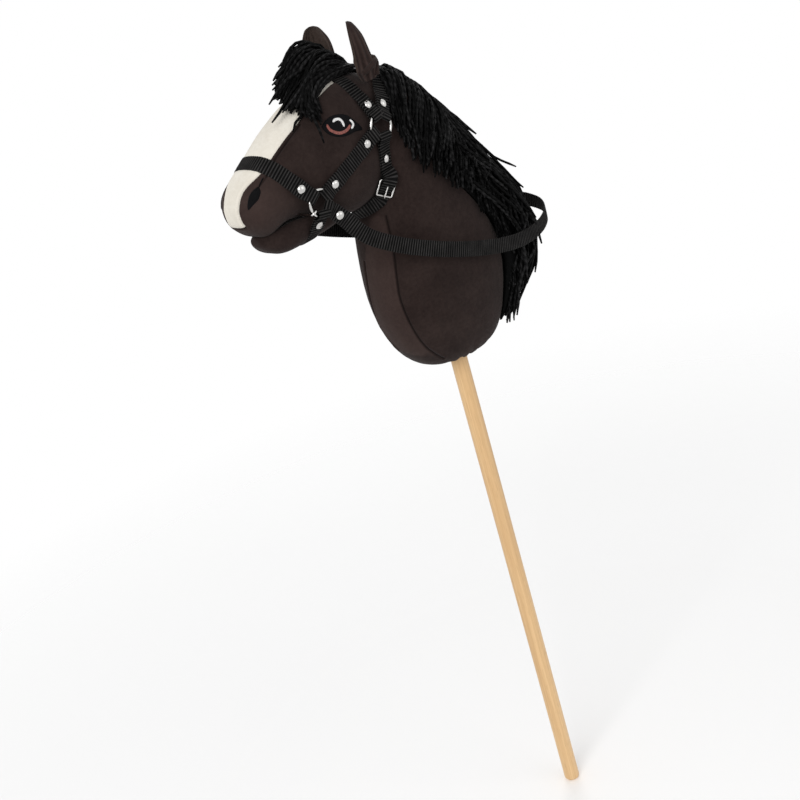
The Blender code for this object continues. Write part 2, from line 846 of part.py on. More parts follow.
def ring_to_ring(lane):
    """A strap folded back round a ring's wire at each end of its lane."""
    length = lane.length
    path = turned_back(lane, False)
    past_tip = TURN_BACK + POINT_APART
    reaches = lane.between(FOLD_SETTLES * 0.75, length - FOLD_SETTLES * 0.75)
    for reach in with_place(with_place(reaches, past_tip), length - past_tip):
        path.append((reach, max(over_fold(reach, RING_WIRE / 2), over_fold(length - reach, RING_WIRE / 2))))
    path += reversed(turned_back(lane, True))
    return ribbon(lane, path, ((False, 0.0), (True, length)))


def rivet_place(lane, reach):
    """Where a rivet through two layers stands: on the underside of the inner one, pointing out."""
    place, side, outward = lane.frame(reach)
    return axes_at(place, side, outward.cross(side), outward)


def rivet_shape():
    """A domed cap, its shank through both layers and the flange clinched under them."""
    top = 2 * STRAP_THICKNESS + LAYER_GAP + RIVET_FIT
    half = RIVET_CAP / 2
    low = -RIVET_FIT - RIVET_FLANGE_THICK
    profile = [(0, low), (RIVET_FLANGE / 2, low), (RIVET_FLANGE / 2, -RIVET_FIT)]
    profile += [(RIVET_SHANK / 2, -RIVET_FIT), (RIVET_SHANK / 2, top), (half, top)]
    for turn in (12, 42, 68):
        angle = math.radians(turn)
        profile.append((half * math.cos(angle), top + RIVET_DOME * math.sin(angle)))
    profile.append((0, top + RIVET_DOME))
    return profile


def rivet_hole(place):
    low = -HOLE_PAST
    high = 2 * (STRAP_THICKNESS + HOLE_PAST)
    radius = RIVET_SHANK / 2 + RIVET_FIT
    return turned([(0, low), (radius, low), (radius, high), (0, high)], 10, place)


def box_shape(size, at):
    bm = bmesh.new()
    bmesh.ops.create_cube(bm, size=1.0)
    bmesh.ops.scale(bm, vec=size, verts=bm.verts)
    bmesh.ops.transform(bm, matrix=at, verts=bm.verts)
    return bm


def slab(under, over):
    """A thin solid between two grids of points, the second above the first."""
    bm = bmesh.new()
    low = [[bm.verts.new(point) for point in row] for row in under]
    high = [[bm.verts.new(point) for point in row] for row in over]
    rows, columns = len(low), len(low[0])
    for grid in (low, high):
        for i in range(rows - 1):
            for k in range(columns - 1):
                bm.faces.new((grid[i][k], grid[i][k + 1], grid[i + 1][k + 1], grid[i + 1][k]))
    border = [(0, k) for k in range(columns)] + [(i, columns - 1) for i in range(1, rows)]
    border += [(rows - 1, k) for k in range(columns - 2, -1, -1)] + [(i, 0) for i in range(rows - 2, 0, -1)]
    for (i, k), (m, n) in zip(border, border[1:] + border[:1]):
        bm.faces.new((low[i][k], low[m][n], high[m][n], high[i][k]))
    return face_out(bm)


def laid(form, starts, inwards):
    """A thin patch where each start, moved inwards, meets the form, raised so that no edge cuts through."""
    met = [[form.hit(start, inward) for start, inward in zip(*row)] for row in zip(starts, inwards)]
    rows, columns = len(met), len(met[0])
    extra = [[0.0] * columns for _ in range(rows)]
    for i in range(rows):
        for k in range(columns):
            for m, n in ((i + 1, k), (i, k + 1), (i + 1, k + 1), (i + 1, k - 1)):
                if m < rows and 0 <= n < columns:
                    middle = (met[i][k][0] + met[m][n][0]) / 2
                    inward = (inwards[i][k] + inwards[m][n]).normalized()
                    found = form.hit(middle - inward * HIT_FROM, inward)
                    short = max(0.0, (middle - found[0]).dot(inward))
                    for a, b in ((i, k), (m, n)):
                        extra[a][b] = max(extra[a][b], short)
    under, over = [], []
    for i in range(rows):
        low = [met[i][k][0] + met[i][k][1] * (PATCH_LAY + extra[i][k]) for k in range(columns)]
        under.append(low)
        over.append([point + met[i][k][1] * PATCH_THICKNESS for k, point in enumerate(low)])
    return slab(under, over)


def patch(form, start, end, inward, half_width, rows, columns):
    """A piece of cloth laid on the form along a line, its half width a function of the share along it."""
    starts = []
    across = inward.cross(end - start).normalized()
    for i in range(rows):
        share = i / (rows - 1)
        middle = start.lerp(end, share)
        half = half_width(share)
        places = [2 * k / (columns - 1) - 1 for k in range(columns)]
        starts.append([middle + across * half * place - inward * 2 * HIT_FROM for place in places])
    return laid(form, starts, [[inward] * columns] * rows)


def make_stick(finish):
    """The dowel, both its ends rounded over, with a flat face left in the middle of each."""
    top = STICK_BELOW_NECK + STICK_IN_NECK
    corner = STICK_END_ROUND
    middle = STICK_DIAMETER / 2 - corner
    profile = [(0, 0)] + arc((middle, corner), corner, -90, 0, 5)
    profile += arc((middle, top - corner), corner, 0, 90, 5) + [(0, top)]
    return piece("stick", turned(profile, 32), finish)


def make_stick_cap(finish):
    """The cup over the stick's inner end, which keeps the wood off the stuffing."""
    inner = STICK_DIAMETER / 2 + GAP
    outer = inner + CAP_WALL
    top = STICK_BELOW_NECK + STICK_IN_NECK
    low = top - CAP_LENGTH
    profile = [(0, top + GAP), (inner, top + GAP), (inner, low), (outer, low)]
    profile += arc((outer - CAP_WALL, top + GAP), CAP_WALL, 0, 90, 3)
    profile.append((0, top + GAP + CAP_WALL))
    return piece("stick_cap", turned(profile, 24), finish)


def make_neck_tie(finish):
    """The band that draws the bottom of the neck's cloth tight round the stick."""
    inner = STICK_DIAMETER / 2 + GAP
    outer = inner + TIE_THICKNESS
    low = STICK_BELOW_NECK + TIE_HEIGHT
    corners = ((inner, low), (outer, low), (outer, low + TIE_WIDTH), (inner, low + TIE_WIDTH))
    rings = []
    for k in range(24):
        turn = math.tau * k / 24
        away = Vector((math.cos(turn), math.sin(turn), 0))
        rings.append([away * radius + Vector((0, 0, height)) for radius, height in corners])
    return piece("neck_tie", skin(rings, True), finish)


def inside_room():
    """The room in the neck for the stick, the band round it and the cup on its end."""
    bore = STICK_DIAMETER / 2 + GAP
    tie = bore + TIE_THICKNESS + GAP
    cup = bore + CAP_WALL + GAP
    low = STICK_BELOW_NECK + TIE_HEIGHT - GAP
    high = STICK_BELOW_NECK + TIE_HEIGHT + TIE_WIDTH + GAP
    cup_low = STICK_BELOW_NECK + STICK_IN_NECK - CAP_LENGTH - GAP
    cup_top = STICK_BELOW_NECK + STICK_IN_NECK + CAP_WALL + 2 * GAP
    start = STICK_BELOW_NECK - 0.01
    profile = [(0, start), (bore, start), (bore, low), (tie, low), (tie, high), (bore, high)]
    profile += [(bore, cup_low), (cup, cup_low), (cup, cup_top), (0, cup_top)]
    return turned(profile, 24)


def bit_line():
    """Where the bit hooks on the ring's wire, the way there from the ring's middle and the hook's radius."""
    away = Vector((math.cos(BIT_TURN), 0, math.sin(BIT_TURN)))
    wire = Vector((-LOWER_RING[0], 0, STICK_BELOW_NECK + LOWER_RING[1])) + away * RING_RADIUS
    hook = RING_WIRE / 2 + WIRE_FIT + BIT_WIRE / 2
    return wire, away, hook


def make_bit(ring_y, finish):
    """A straight wire through the mouth, each end bent round a lower ring."""
    wire, away, hook = bit_line()
    end = []
    for k in range(9):
        turn = math.radians(BIT_HOOK * (1 - k / 8))
        end.append(wire + away * hook * math.cos(turn) + Vector((0, -ring_y - hook * math.sin(turn), 0)))
    path = end + [Vector((p.x, -p.y, p.z)) for p in reversed(end)]
    return piece("bit", tube(path, BIT_WIRE / 2, 8, up=Vector((-away.z, 0, away.x))), finish)


def bit_room():
    wire, away, hook = bit_line()
    middle = wire + away * hook
    radius = BIT_WIRE / 2 + GAP
    at = axes_at(middle, Vector((1, 0, 0)), Vector((0, 0, 1)), Vector((0, -1, 0)))
    return turned([(0, -0.06), (radius, -0.06), (radius, 0.06), (0, 0.06)], 12, at)


def make_soft_forms(cloth):
    neck = piece("neck_body", neck_shape(), cloth)
    cut(neck, inside_room())
    head = piece("head_body", head_shape(), cloth)
    cut(head, neck_shape(GAP), bit_room())
    jaw = piece("lower_jaw", jaw_shape(), cloth)
    cut(jaw, head_shape(GAP), neck_shape(GAP), bit_room())


def ear_shape():
    """A cupped leaf, wider than it is deep, that leans out and opens forwards."""
    rings = []
    foot = Vector((-EAR_AHEAD, -EAR_APART / 2, STICK_BELOW_NECK + EAR_FOOT))
    rise = Vector((-EAR_LEAN_AHEAD, -EAR_LEAN_OUT, 1)).normalized()
    back = Vector((math.cos(EAR_FACING), math.sin(EAR_FACING), 0))
    back = (back - rise * back.dot(rise)).normalized()
    wide = rise.cross(back).normalized()
    for height, half, wrap in smooth_rows(EAR_STATIONS, 2):
        middle = foot + rise * height
        spread = math.radians(wrap)
        thickness = EAR_THICKNESS * min(1.0, half / EAR_THINS_BELOW)
        outer, inner = [], []
        for k in range(9):
            turn = spread * (2 * k / 8 - 1)
            away = back * EAR_DEPTH * math.cos(turn) + wide * math.sin(turn)
            outer.append(middle + away * half)
            inner.append(middle + away * max(EAR_HOLLOW, half - thickness))
        rings.append(outer + inner[::-1])
    return skin(rings)


def make_ears(cloth):
    left = ear_shape()
    right = mirrored(left)
    for name, bm in (("ear_left", left), ("ear_right", right)):
        cut(piece(name, bm, cloth), head_shape(GAP), neck_shape(GAP))


def sagittal_lane(form):
    """The line down the middle of the face, from the forehead over the nose to the lip."""
    core = Vector((-BLAZE_CORE[0], 0, STICK_BELOW_NECK + BLAZE_CORE[1]))
    points = []
    for k in range(49):
        turn = math.radians(BLAZE_TURNS[0] + (BLAZE_TURNS[1] - BLAZE_TURNS[0]) * k / 48)
        away = Vector((-math.cos(turn), 0, math.sin(turn)))
        points.append(form.hit(core + away * FAR_OUT, -away)[0])
    points = thinned(points, BLAZE_STEP)
    return Lane(points, [Vector((0, 1, 0))] * len(points), lambda p: p - core)


def blaze_half(ahead, height):
    """Half the blaze's width at a point of the face's middle line."""
    if height < BLAZE_LIP_HEIGHT:
        return BLAZE_HALVES[-1][1]
    near = BLAZE_HALVES[0]
    for far in BLAZE_HALVES[1:]:
        if ahead <= far[0]:
            return near[1] + (far[1] - near[1]) * max(0.0, ahead - near[0]) / (far[0] - near[0])
        near = far
    return near[1]


def make_blaze(form, white):
    lane = sagittal_lane(form)
    starts, inwards = [], []
    for point, side, outward in zip(lane.points, lane.sides, lane.outward):
        half = blaze_half(-point.x, point.z - STICK_BELOW_NECK)
        shares = [2 * k / (BLAZE_COLUMNS - 1) - 1 for k in range(BLAZE_COLUMNS)]
        starts.append([point + side * half * share + outward * HIT_FROM for share in shares])
        inwards.append([-outward] * BLAZE_COLUMNS)
    return piece("blaze_panel", laid(form, starts, inwards), white)


def at_side(ahead, height, y=0.0):
    return Vector((-ahead, y, STICK_BELOW_NECK + height))


def make_eyes_and_nostrils(form, thread):
    def almond(share):
        return max(0.0012, EYE_HALF_HEIGHT * math.sin(math.pi * share) ** 0.8)

    def leaf(share):
        return max(0.0007, NOSTRIL_HALF_WIDTH * math.sin(math.pi * min(1.0, share**0.62)) ** 0.9)

    inward = Vector((0.05, 1, -0.2)).normalized()
    eye = patch(form, at_side(*EYE_FRONT, -0.042), at_side(*EYE_REAR, -0.044), inward, almond, 11, 7)
    inward = Vector((0.55, 0.78, -0.3)).normalized()
    top, tail = at_side(*NOSTRIL_TOP, -0.028), at_side(*NOSTRIL_TAIL, -0.026)
    nostril = patch(form, top, tail, inward, leaf, 8, 4)
    for name, bm in (("eye", eye), ("nostril", nostril)):
        other = mirrored(bm)
        piece(name + "_left", bm, thread)
        piece(name + "_right", other, thread)


def neck_row_at(height):
    rows = smooth_rows(NECK_STATIONS, 4)
    for low, high in zip(rows, rows[1:]):
        if high[0] >= height:
            share = (height - low[0]) / (high[0] - low[0])
            return tuple(a + (b - a) * share for a, b in zip(low, high))
    return rows[-1]


def make_mane(yarn):
    """The fall of yarn from the crest: thick behind, thin at the edges that lie on the neck's sides."""
    under, over = [], []
    for height, edge_x, thickness in smooth_rows(MANE_STATIONS, 1):
        _, front, rear, half = neck_row_at(height)
        middle, reach = (front + rear) / 2, (rear - front) / 2
        share = max(-0.98, min(0.98, (edge_x - middle) / reach))
        limit = math.acos(math.copysign(abs(share) ** (NECK_SQUARENESS / 2), share))
        low, high = [], []
        for k in range(MANE_COLUMNS):
            place = 2 * k / (MANE_COLUMNS - 1) - 1
            turn = limit * place
            c, s = squared_circle(turn, NECK_SQUARENESS)
            away = Vector((c / reach, s / half, 0)).normalized()
            skin_point = Vector((middle + reach * c, half * s, STICK_BELOW_NECK + height))
            fall = max(0.0, math.cos(turn)) ** 2.2 * (1 - place**4)
            low.append(skin_point - away * MANE_ROOT)
            high.append(skin_point + away * (MANE_EDGE + (thickness - MANE_EDGE) * fall))
        under.append(low)
        over.append(high)
    cut(piece("mane", slab(under, over), yarn), neck_shape(GAP))


def make_forelock(browband_room, yarn):
    rings = []
    rows = smooth_rows(FORELOCK_STATIONS, 2)
    for i, (ahead, height, wide, thick) in enumerate(rows):
        before, after = rows[max(0, i - 1)], rows[min(len(rows) - 1, i + 1)]
        along = Vector((-(after[0] - before[0]), 0, after[1] - before[1])).normalized()
        across = Vector((0, 1, 0))
        up = across.cross(along)
        middle = at_side(ahead, height)
        turns = [math.tau * k / 16 for k in range(16)]
        rings.append([middle + across * wide * math.cos(a) + up * thick * math.sin(a) for a in turns])
    lock = piece("forelock", skin(rings), yarn)
    cut(lock, head_shape(FORELOCK_LAY), neck_shape(GAP), browband_room)


def make_rings(lower_y, upper_y, metal):
    turns = [math.tau * k / 28 for k in range(28)]
    path = [Vector((math.cos(turn), 0, math.sin(turn))) * RING_RADIUS for turn in turns]
    for level, (ahead, height), y in (("lower", LOWER_RING, lower_y), ("upper", UPPER_RING, upper_y)):
        for side, sign in (("left", -1), ("right", 1)):
            ring = piece("ring_%s_%s" % (level, side), tube(path, RING_WIRE / 2, 8, closed=True), metal)
            ring.location = at_side(ahead, height, sign * y)


def ring_distance(form, ring):
    """How far out from the middle a ring hangs, so that the straps under its wire clear the cloth."""
    ahead, height = ring
    most = 0.0
    for k in range(12):
        turn = math.tau * k / 12
        start = at_side(ahead + RING_RADIUS * math.cos(turn), height + RING_RADIUS * math.sin(turn), -FAR_OUT)
        met = form.hit(start, Vector((0, 1, 0)), FAR_OUT)
        if met is not None:
            most = max(most, -met[0].y)
    return most + STRAP_LAY + WIRE_OVER_LAY


def add_rivet(name, place, metal, mirror=False):
    rivet = piece(name, turned(rivet_shape(), 10), metal)
    flip = Matrix.Scale(-1, 4, (0, 1, 0))
    rivet.matrix_basis = flip @ place @ flip if mirror else place
    return rivet


def make_girth_strap(name, form, route, ring_y, over, webbing, metal):
    """A strap from ring to ring over or under the head, riveted behind each fold."""
    lane = girth_lane(form, route, ring_y, over)
    lane.flatten(RIVET_FROM_WIRE, RIVET_FLAT).flatten(lane.length - RIVET_FROM_WIRE, RIVET_FLAT)
    strap = piece(name, ring_to_ring(lane), webbing)
    for side, reach in (("right", RIVET_FROM_WIRE), ("left", lane.length - RIVET_FROM_WIRE)):
        place = rivet_place(lane, reach)
        cut(strap, rivet_hole(place))
        add_rivet("rivet_%s_%s" % (name, side), place, metal)
    return lane


def make_cheekpieces(form, lower_y, upper_y, webbing, metal):
    lane = side_lane(form, LOWER_RING, UPPER_RING, lower_y, upper_y)
    lane.flatten(RIVET_FROM_WIRE, RIVET_FLAT).flatten(lane.length - RIVET_FROM_WIRE, RIVET_FLAT)
    for side, flip in (("left", False), ("right", True)):
        bm = ring_to_ring(lane)
        strap = piece("cheekpiece_" + side, mirrored(bm) if flip else bm, webbing)
        for level, reach in (("lower", RIVET_FROM_WIRE), ("upper", lane.length - RIVET_FROM_WIRE)):
            place = rivet_place(lane, reach)
            hole = rivet_hole(place)
            cut(strap, mirrored(hole) if flip else hole)
            add_rivet("rivet_cheek_%s_%s" % (level, side), place, metal, flip)


def throat_levels():
    """Heights over the lane of the buckle's wire and of the strap that runs under, over and past it."""
    half = STRAP_THICKNESS / 2
    bar = STRAP_THICKNESS + WIRE_FIT + BUCKLE_WIRE / 2
    doubled = STRAP_THICKNESS * 1.5 + LAYER_GAP
    eye_top = BUCKLE_WIRE / 2 + TONGUE_FIT + TONGUE_WIRE
    return half, bar, doubled, bar + eye_top + LAYER_GAP + half


def make_throat_straps(form, upper_y, webbing, metal):
    """The short left strap, looped through the ring and the buckle, and the long right one that it holds."""
    lane = girth_lane(form, THROAT_ROUTE, upper_y, False)
    lane.flatten(RIVET_FROM_WIRE, RIVET_FLAT).flatten(lane.length - THROAT_RIVET_FROM_WIRE, RIVET_FLAT)
    frame_half = STRAP_WIDTH / 2 + BUCKLE_SIDE_ROOM + BUCKLE_WIRE
    lane.flatten(
        lane.length - BUCKLE_FROM_RING - BUCKLE_LENGTH / 2,
        BUCKLE_LENGTH / 2 + 2 * STRAP_STEP,
        form,
        frame_half,
        STRAP_THICKNESS,
    )
    half, bar, doubled, over_hinge = throat_levels()
    hinge = lane.length - BUCKLE_FROM_RING
    low_bar = hinge - BUCKLE_LENGTH
    own = lane.between(hinge + LOOP_FROM_BENDS, lane.length - LOOP_FROM_BENDS)
    loop = [(reach, half) for reach in own]
    loop += [(lane.length - distance, out) for distance, out in bend(RING_WIRE / 2, ring_slack())]
    loop += [(reach, doubled) for reach in reversed(own)]
    loop += [(hinge + distance, out) for distance, out in reversed(bend(BUCKLE_WIRE / 2, 0.0))]
    short = piece("throat_strap_left", ribbon(lane, loop, ((True, lane.length),), closed=True), webbing)
    place = rivet_place(lane, lane.length - THROAT_RIVET_FROM_WIRE)
    cut(short, rivet_hole(place))
    add_rivet("rivet_throat_left", place, metal)

    path = turned_back(lane, False)
    reaches = lane.between(FOLD_SETTLES * 0.75, low_bar - UNDER_BAR_FROM)
    for reach in with_place(reaches, TURN_BACK + POINT_APART):
        path.append((reach, over_fold(reach, RING_WIRE / 2)))
    past = doubled + STRAP_THICKNESS + 1.5 * LAYER_GAP
    path += [
        (low_bar, half),
        (low_bar + FLAT_PAST_BARS, half),
        (hinge - FLAT_PAST_BARS, over_hinge),
        (hinge + PAST_HINGE, over_hinge),
        (hinge + STEP_DOWN, past + STEP_RISE),
    ]
    beside = lane.between(hinge + STEP_DOWN + PAST_HINGE, hinge + BUCKLE_TIP - POINT_APART)
    path += [(reach, past) for reach in beside]
    path.append((hinge + BUCKLE_TIP, past))
    long_strap = piece("throat_strap_right", ribbon(lane, path, ((False, 0.0),)), webbing)
    place = rivet_place(lane, RIVET_FROM_WIRE)
    cut(long_strap, rivet_hole(place))
    add_rivet("rivet_throat_right", place, metal)
    make_buckle(lane, hinge, low_bar, bar, short, long_strap, metal)


def make_buckle(lane, hinge, low_bar, bar, short, long_strap, metal):
    """A wire frame whose upper bar lies in the short strap's fold, and a tongue hooked round that bar."""
    middle = lane.at(hinge, 0, bar)
    side = lane.frame((hinge + low_bar) / 2)[1]
    along = lane.at(low_bar, 0, bar) - middle
    along -= side * along.dot(side)
    reach = along.length
    along.normalize()
    outward = side.cross(along)
    if outward.dot(lane.frame(hinge)[2]) < 0:
        outward.negate()
    half_width = STRAP_WIDTH / 2 + BUCKLE_SIDE_ROOM + BUCKLE_WIRE / 2
    corner = BUCKLE_CORNER
    frame_path = []
    for (u, v, start) in (
        (reach - corner, half_width - corner, 0),
        (corner, half_width - corner, 90),
        (corner, corner - half_width, 180),
        (reach - corner, corner - half_width, 270),
    ):
        for k in range(4):
            turn = math.radians(start + 30 * k)
            frame_path.append(
                middle + along * (u + corner * math.cos(turn)) + side * (v + corner * math.sin(turn))
            )
    frame = tube(frame_path, BUCKLE_WIRE / 2, 8, closed=True, up=outward)
    piece("buckle_frame", frame, metal)

    eye = BUCKLE_WIRE / 2 + TONGUE_FIT + TONGUE_WIRE / 2
    tongue_path = []
    for k in range(11):
        turn = math.radians(330 - 24 * k)
        tongue_path.append(Vector((eye * math.cos(turn), 0, eye * math.sin(turn))))
    for share in (0.3, 0.6, 0.85, 1.0):
        tongue_path.append(Vector(((reach + TONGUE_PAST_BAR) * share, 0, eye)))
    tongue = piece("buckle_tongue", tube(tongue_path, TONGUE_WIRE / 2, 8, up=Vector((0, 1, 0))), metal)
    tongue.matrix_basis = axes_at(middle, along, outward.cross(along), outward)

    slot = TONGUE_WIRE + 2 * TONGUE_SIDE_ROOM
    at = axes_at(middle + along * HINGE_SLOT_SHIFT, along, side, outward)
    cut(short, box_shape((2 * eye + TONGUE_WIRE + HINGE_SLOT_ROOM, slot, SLOT_CUT * 0.75), at))
    run = (TONGUE_SLOT[0] + TONGUE_SLOT[1]) / 2
    at = axes_at(middle + along * run, along, side, outward)
    cut(long_strap, box_shape((TONGUE_SLOT[1] - TONGUE_SLOT[0], slot, SLOT_CUT), at))


def rein_lane(lower_y):
    """The rein's way from the left lower ring along the neck, round behind the mane, to the right one."""
    away = Vector((math.cos(REIN_TURN), 0, math.sin(REIN_TURN)))
    start = at_side(*LOWER_RING, 0) + away * RING_RADIUS
    start.y = -(lower_y - WIRE_OVER_LAY)
    left = [start, start + away * REIN_START]
    right = [Vector((p.x, -p.y, p.z)) for p in left]
    for x, y, left_height, right_height in REIN_ROUTE:
        left.append(Vector((x, -y, STICK_BELOW_NECK + left_height)))
        right.append(Vector((x, y, STICK_BELOW_NECK + right_height)))
    route = left + right[-2::-1]
    dense = [Vector(row) for row in smooth_rows([tuple(p) for p in route], 6)]
    points = thinned(dense, REIN_STEP)
    count = len(points)
    sides = []
    for i in range(count):
        t = (points[min(i + 1, count - 1)] - points[max(i - 1, 0)]).normalized()
        sides.append((Vector((0, 0, 1)) - t * t.z).normalized())
    lane = Lane(points, sides, lambda p: Vector((1, 0, 0)))
    wire = at_side(*LOWER_RING, -lower_y) + away * RING_RADIUS
    return lane.meet(wire, False).meet(Vector((wire.x, -wire.y, wire.z)), True)


def make_rein(lower_y, webbing, metal):
    lane = rein_lane(lower_y)
    flat = 1.2 * REIN_STEP
    lane.flatten(REIN_RIVET_FROM_WIRE, flat).flatten(lane.length - REIN_RIVET_FROM_WIRE, flat)
    rein = piece("rein", ring_to_ring(lane), webbing)
    swinging = [rein]
    for side, reach in (("left", REIN_RIVET_FROM_WIRE), ("right", lane.length - REIN_RIVET_FROM_WIRE)):
        place = rivet_place(lane, reach)
        cut(rein, rivet_hole(place))
        swinging.append(add_rivet("rivet_rein_" + side, place, metal))
    pivot = bpy.data.objects.new("rein_pivot", None)
    pivot.location = at_side(*LOWER_RING)
    bpy.context.scene.collection.objects.link(pivot)
    for made in swinging:
        made.parent = pivot
        made.matrix_parent_inverse = Matrix.Translation(-pivot.location)


def main():
    clear_scene()
    cloth = material("brown_cloth", (0.045, 0.033, 0.029), 0.92)
    white = material("white_cloth", (0.85, 0.80, 0.70), 0.9)
    thread = material("black_thread", (0.008, 0.008, 0.009), 0.6)
    yarn = material("black_yarn", (0.006, 0.006, 0.006), 0.85)
    webbing = material("black_webbing", (0.010, 0.010, 0.010), 0.6)
    metal = material("bright_nickel", (0.80, 0.79, 0.76), 0.2, 1.0)
    wood = material("pale_wood", (0.62, 0.40, 0.20), 0.55)
    plastic = material("black_plastic", (0.02, 0.02, 0.02), 0.5)

    make_stick(wood)
    make_stick_cap(plastic)
    make_neck_tie(plastic)
    make_soft_forms(cloth)
    make_ears(cloth)
    form = Form([neck_shape(), head_shape(), jaw_shape()])
    blaze = make_blaze(form, white)
    make_eyes_and_nostrils(form, thread)
    make_mane(yarn)

    form.add(blaze)
    lower_y = ring_distance(form, LOWER_RING)
    upper_y = ring_distance(form, UPPER_RING)
    make_rings(lower_y, upper_y, metal)
    make_bit(lower_y, metal)
    make_girth_strap("noseband", form, NOSEBAND_ROUTE, lower_y, True, webbing, metal)
    make_girth_strap("chin_strap", form, CHIN_ROUTE, lower_y, False, webbing, metal)
    brow = make_girth_strap("browband", form, BROWBAND_ROUTE, upper_y, True, webbing, metal)
    make_girth_strap("crownpiece", form, CROWN_ROUTE, upper_y, True, webbing, metal)
    make_cheekpieces(form, lower_y, upper_y, webbing, metal)
    make_throat_straps(form, upper_y, webbing, metal)
    make_rein(lower_y, webbing, metal)
    room = ribbon(brow, [(reach, STRAP_THICKNESS / 2) for reach in brow.reaches], grow=2 * GAP)
    make_forelock(room, yarn)


main()
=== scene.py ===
"""Looks of the hobby horse: its sewn cloth head and neck, yarn, webbing bridle, metal and stick.

Metres, +Z up along the stick. The horse faces -X and its left side is -Y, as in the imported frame.
"""

import math
import random

import bmesh
import bpy
from mathutils import Matrix, Vector, noise
from mathutils.bvhtree import BVHTree
from mathutils.kdtree import KDTree


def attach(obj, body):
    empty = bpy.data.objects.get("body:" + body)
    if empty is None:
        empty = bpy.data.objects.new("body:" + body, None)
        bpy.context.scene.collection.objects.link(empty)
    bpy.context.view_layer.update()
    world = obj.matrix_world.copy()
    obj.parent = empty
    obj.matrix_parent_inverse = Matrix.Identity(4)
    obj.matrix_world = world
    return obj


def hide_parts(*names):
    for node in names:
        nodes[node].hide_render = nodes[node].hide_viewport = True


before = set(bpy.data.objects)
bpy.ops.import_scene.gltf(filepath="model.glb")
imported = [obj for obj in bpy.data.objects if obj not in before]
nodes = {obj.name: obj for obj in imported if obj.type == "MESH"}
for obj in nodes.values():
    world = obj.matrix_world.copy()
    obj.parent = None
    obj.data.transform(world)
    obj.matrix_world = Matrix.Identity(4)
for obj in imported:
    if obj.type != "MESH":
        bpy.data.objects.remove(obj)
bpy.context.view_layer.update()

# Camera of the photograph: lens and sensor in mm, place and directions
CAMERA_LENS = 58.5
CAMERA_SENSOR = 36
CAMERA_CLIP = 0.01
CAMERA_PLACE = (-0.9151, -1.0912, 1.1945)
CAMERA_RIGHT = (0.70366, -0.66071, -0.26105)
CAMERA_UP = (0.44652, 0.12541, 0.88595)
CAMERA_BACK = (-0.55262, -0.74009, 0.38325)

# Lamps: name, place, size, watts
LAMPS_AIM = (-0.05, 0.0, 0.8)
LAMPS = (
    ("key_lamp", (-2.3, -1.2, 2.3), 1.6, 42),
    ("fill_lamp", (0.6, -2.4, 1.6), 1.8, 7),
    ("back_lamp", (1.6, 1.6, 2.3), 1.4, 16),
)
WORLD_LIGHT = 0.64

# Floor: half its side, where it fades out, and how much brighter than lit it is shown
FLOOR_HALF = 3.0
FLOOR_FADE = (0.5, 1.6)
FLOOR_GLOW = 0.07

# Where the rings' middles lie to each side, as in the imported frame
LOWER_RING_Y = 0.042817
UPPER_RING_Y = 0.048448

# How much further into a ring the straps' folds reach than they must
RING_FILL = 0.0016

# Skins of head, neck and jaw: mesh size, shrinking before the stuffing fills them, and how far it moves them
BORE_CLEARED = 0.0145
BODY_VOXEL = 0.0042
BODY_SHRINK = 0.0012
BODY_CAP = 0.005
JAW_VOXEL = 0.003
JAW_SHRINK = 0.0008
JAW_CAP = 0.005
SMOOTHING = 0.5
SEWN_REACH = 0.007
STUFFING_PRESSURE = 4.0
STUFFING_FRAMES = 20
CLOTH_BENDING = 2.0
SUBDIVIDED = ("SUBSURF", {"levels": 1, "render_levels": 1})

# How far the filled skin may lie under and over the form that the straps lie on
SKIN_UNDER = 0.001
SKIN_OVER = 0.0022

# Seams: step along them, groove, swelling beside it, and in widths of the groove how far the faces are made
# finer, where the swelling lies, how wide it spreads and how far the painted shade darkens the cloth
LINE_STEP = 0.0006
SEAM_DEPTH = 0.0011
SEAM_WIDTH = 0.0012
SEAM_SWELL = 0.0005
SEAM_REFINED = (3.0, 1.8)
SEAM_SWELL_AT = 2.2
SEAM_SWELL_SPREAD = 1.2
PAINTED_SEAM_SHADE_REACH = 0.9

# Gathers round the stick
PUCKERS = 13
PUCKER_DEPTH = 0.0016
PUCKER_REACH = 0.04

# Painted highlight on the nap: the neck's front panel up to its seams' top, and the muzzle's sides
PAINTED_HIGHLIGHT_EDGE = 0.001
PAINTED_HIGHLIGHT_TOP = 0.012
MUZZLE_PAINTED_HIGHLIGHT = ((262, 207),)
MUZZLE_PAINTED_HIGHLIGHT_SHARE = 1.35
MUZZLE_PAINTED_HIGHLIGHT_REACH = 0.035

# Blaze and embroidery: how far they rise over the cloth and reach into it
BLAZE_RISE = 0.0013
BLAZE_UNDER = 0.0006
STITCH_WIDTH = 0.0006
PATCH_RISE = 0.0006
PATCH_EDGE = 0.0006
PATCH_DEEP = 0.0015
PATCH_LAY = 0.0001
PATCH_RINGS = (1.0, 0.97, 0.9, 0.8, 0.62, 0.42, 0.2)
PATCH_INWARD = (0.05, 1, -0.2)
STROKE_COLUMNS = 9
STROKE_DEEP = 0.0006
STROKE_RISE = 0.0003
STROKE_TAPER = 0.16
STROKE_BLUNT = 0.03
STROKE_ENDS = 0.05
IRIS_LAY = 0.0006
GLINT_LAY = 0.0009
NOSTRIL_LINE_WIDTH = 0.0014
NOSTRIL_LINE_RISE = 0.0004

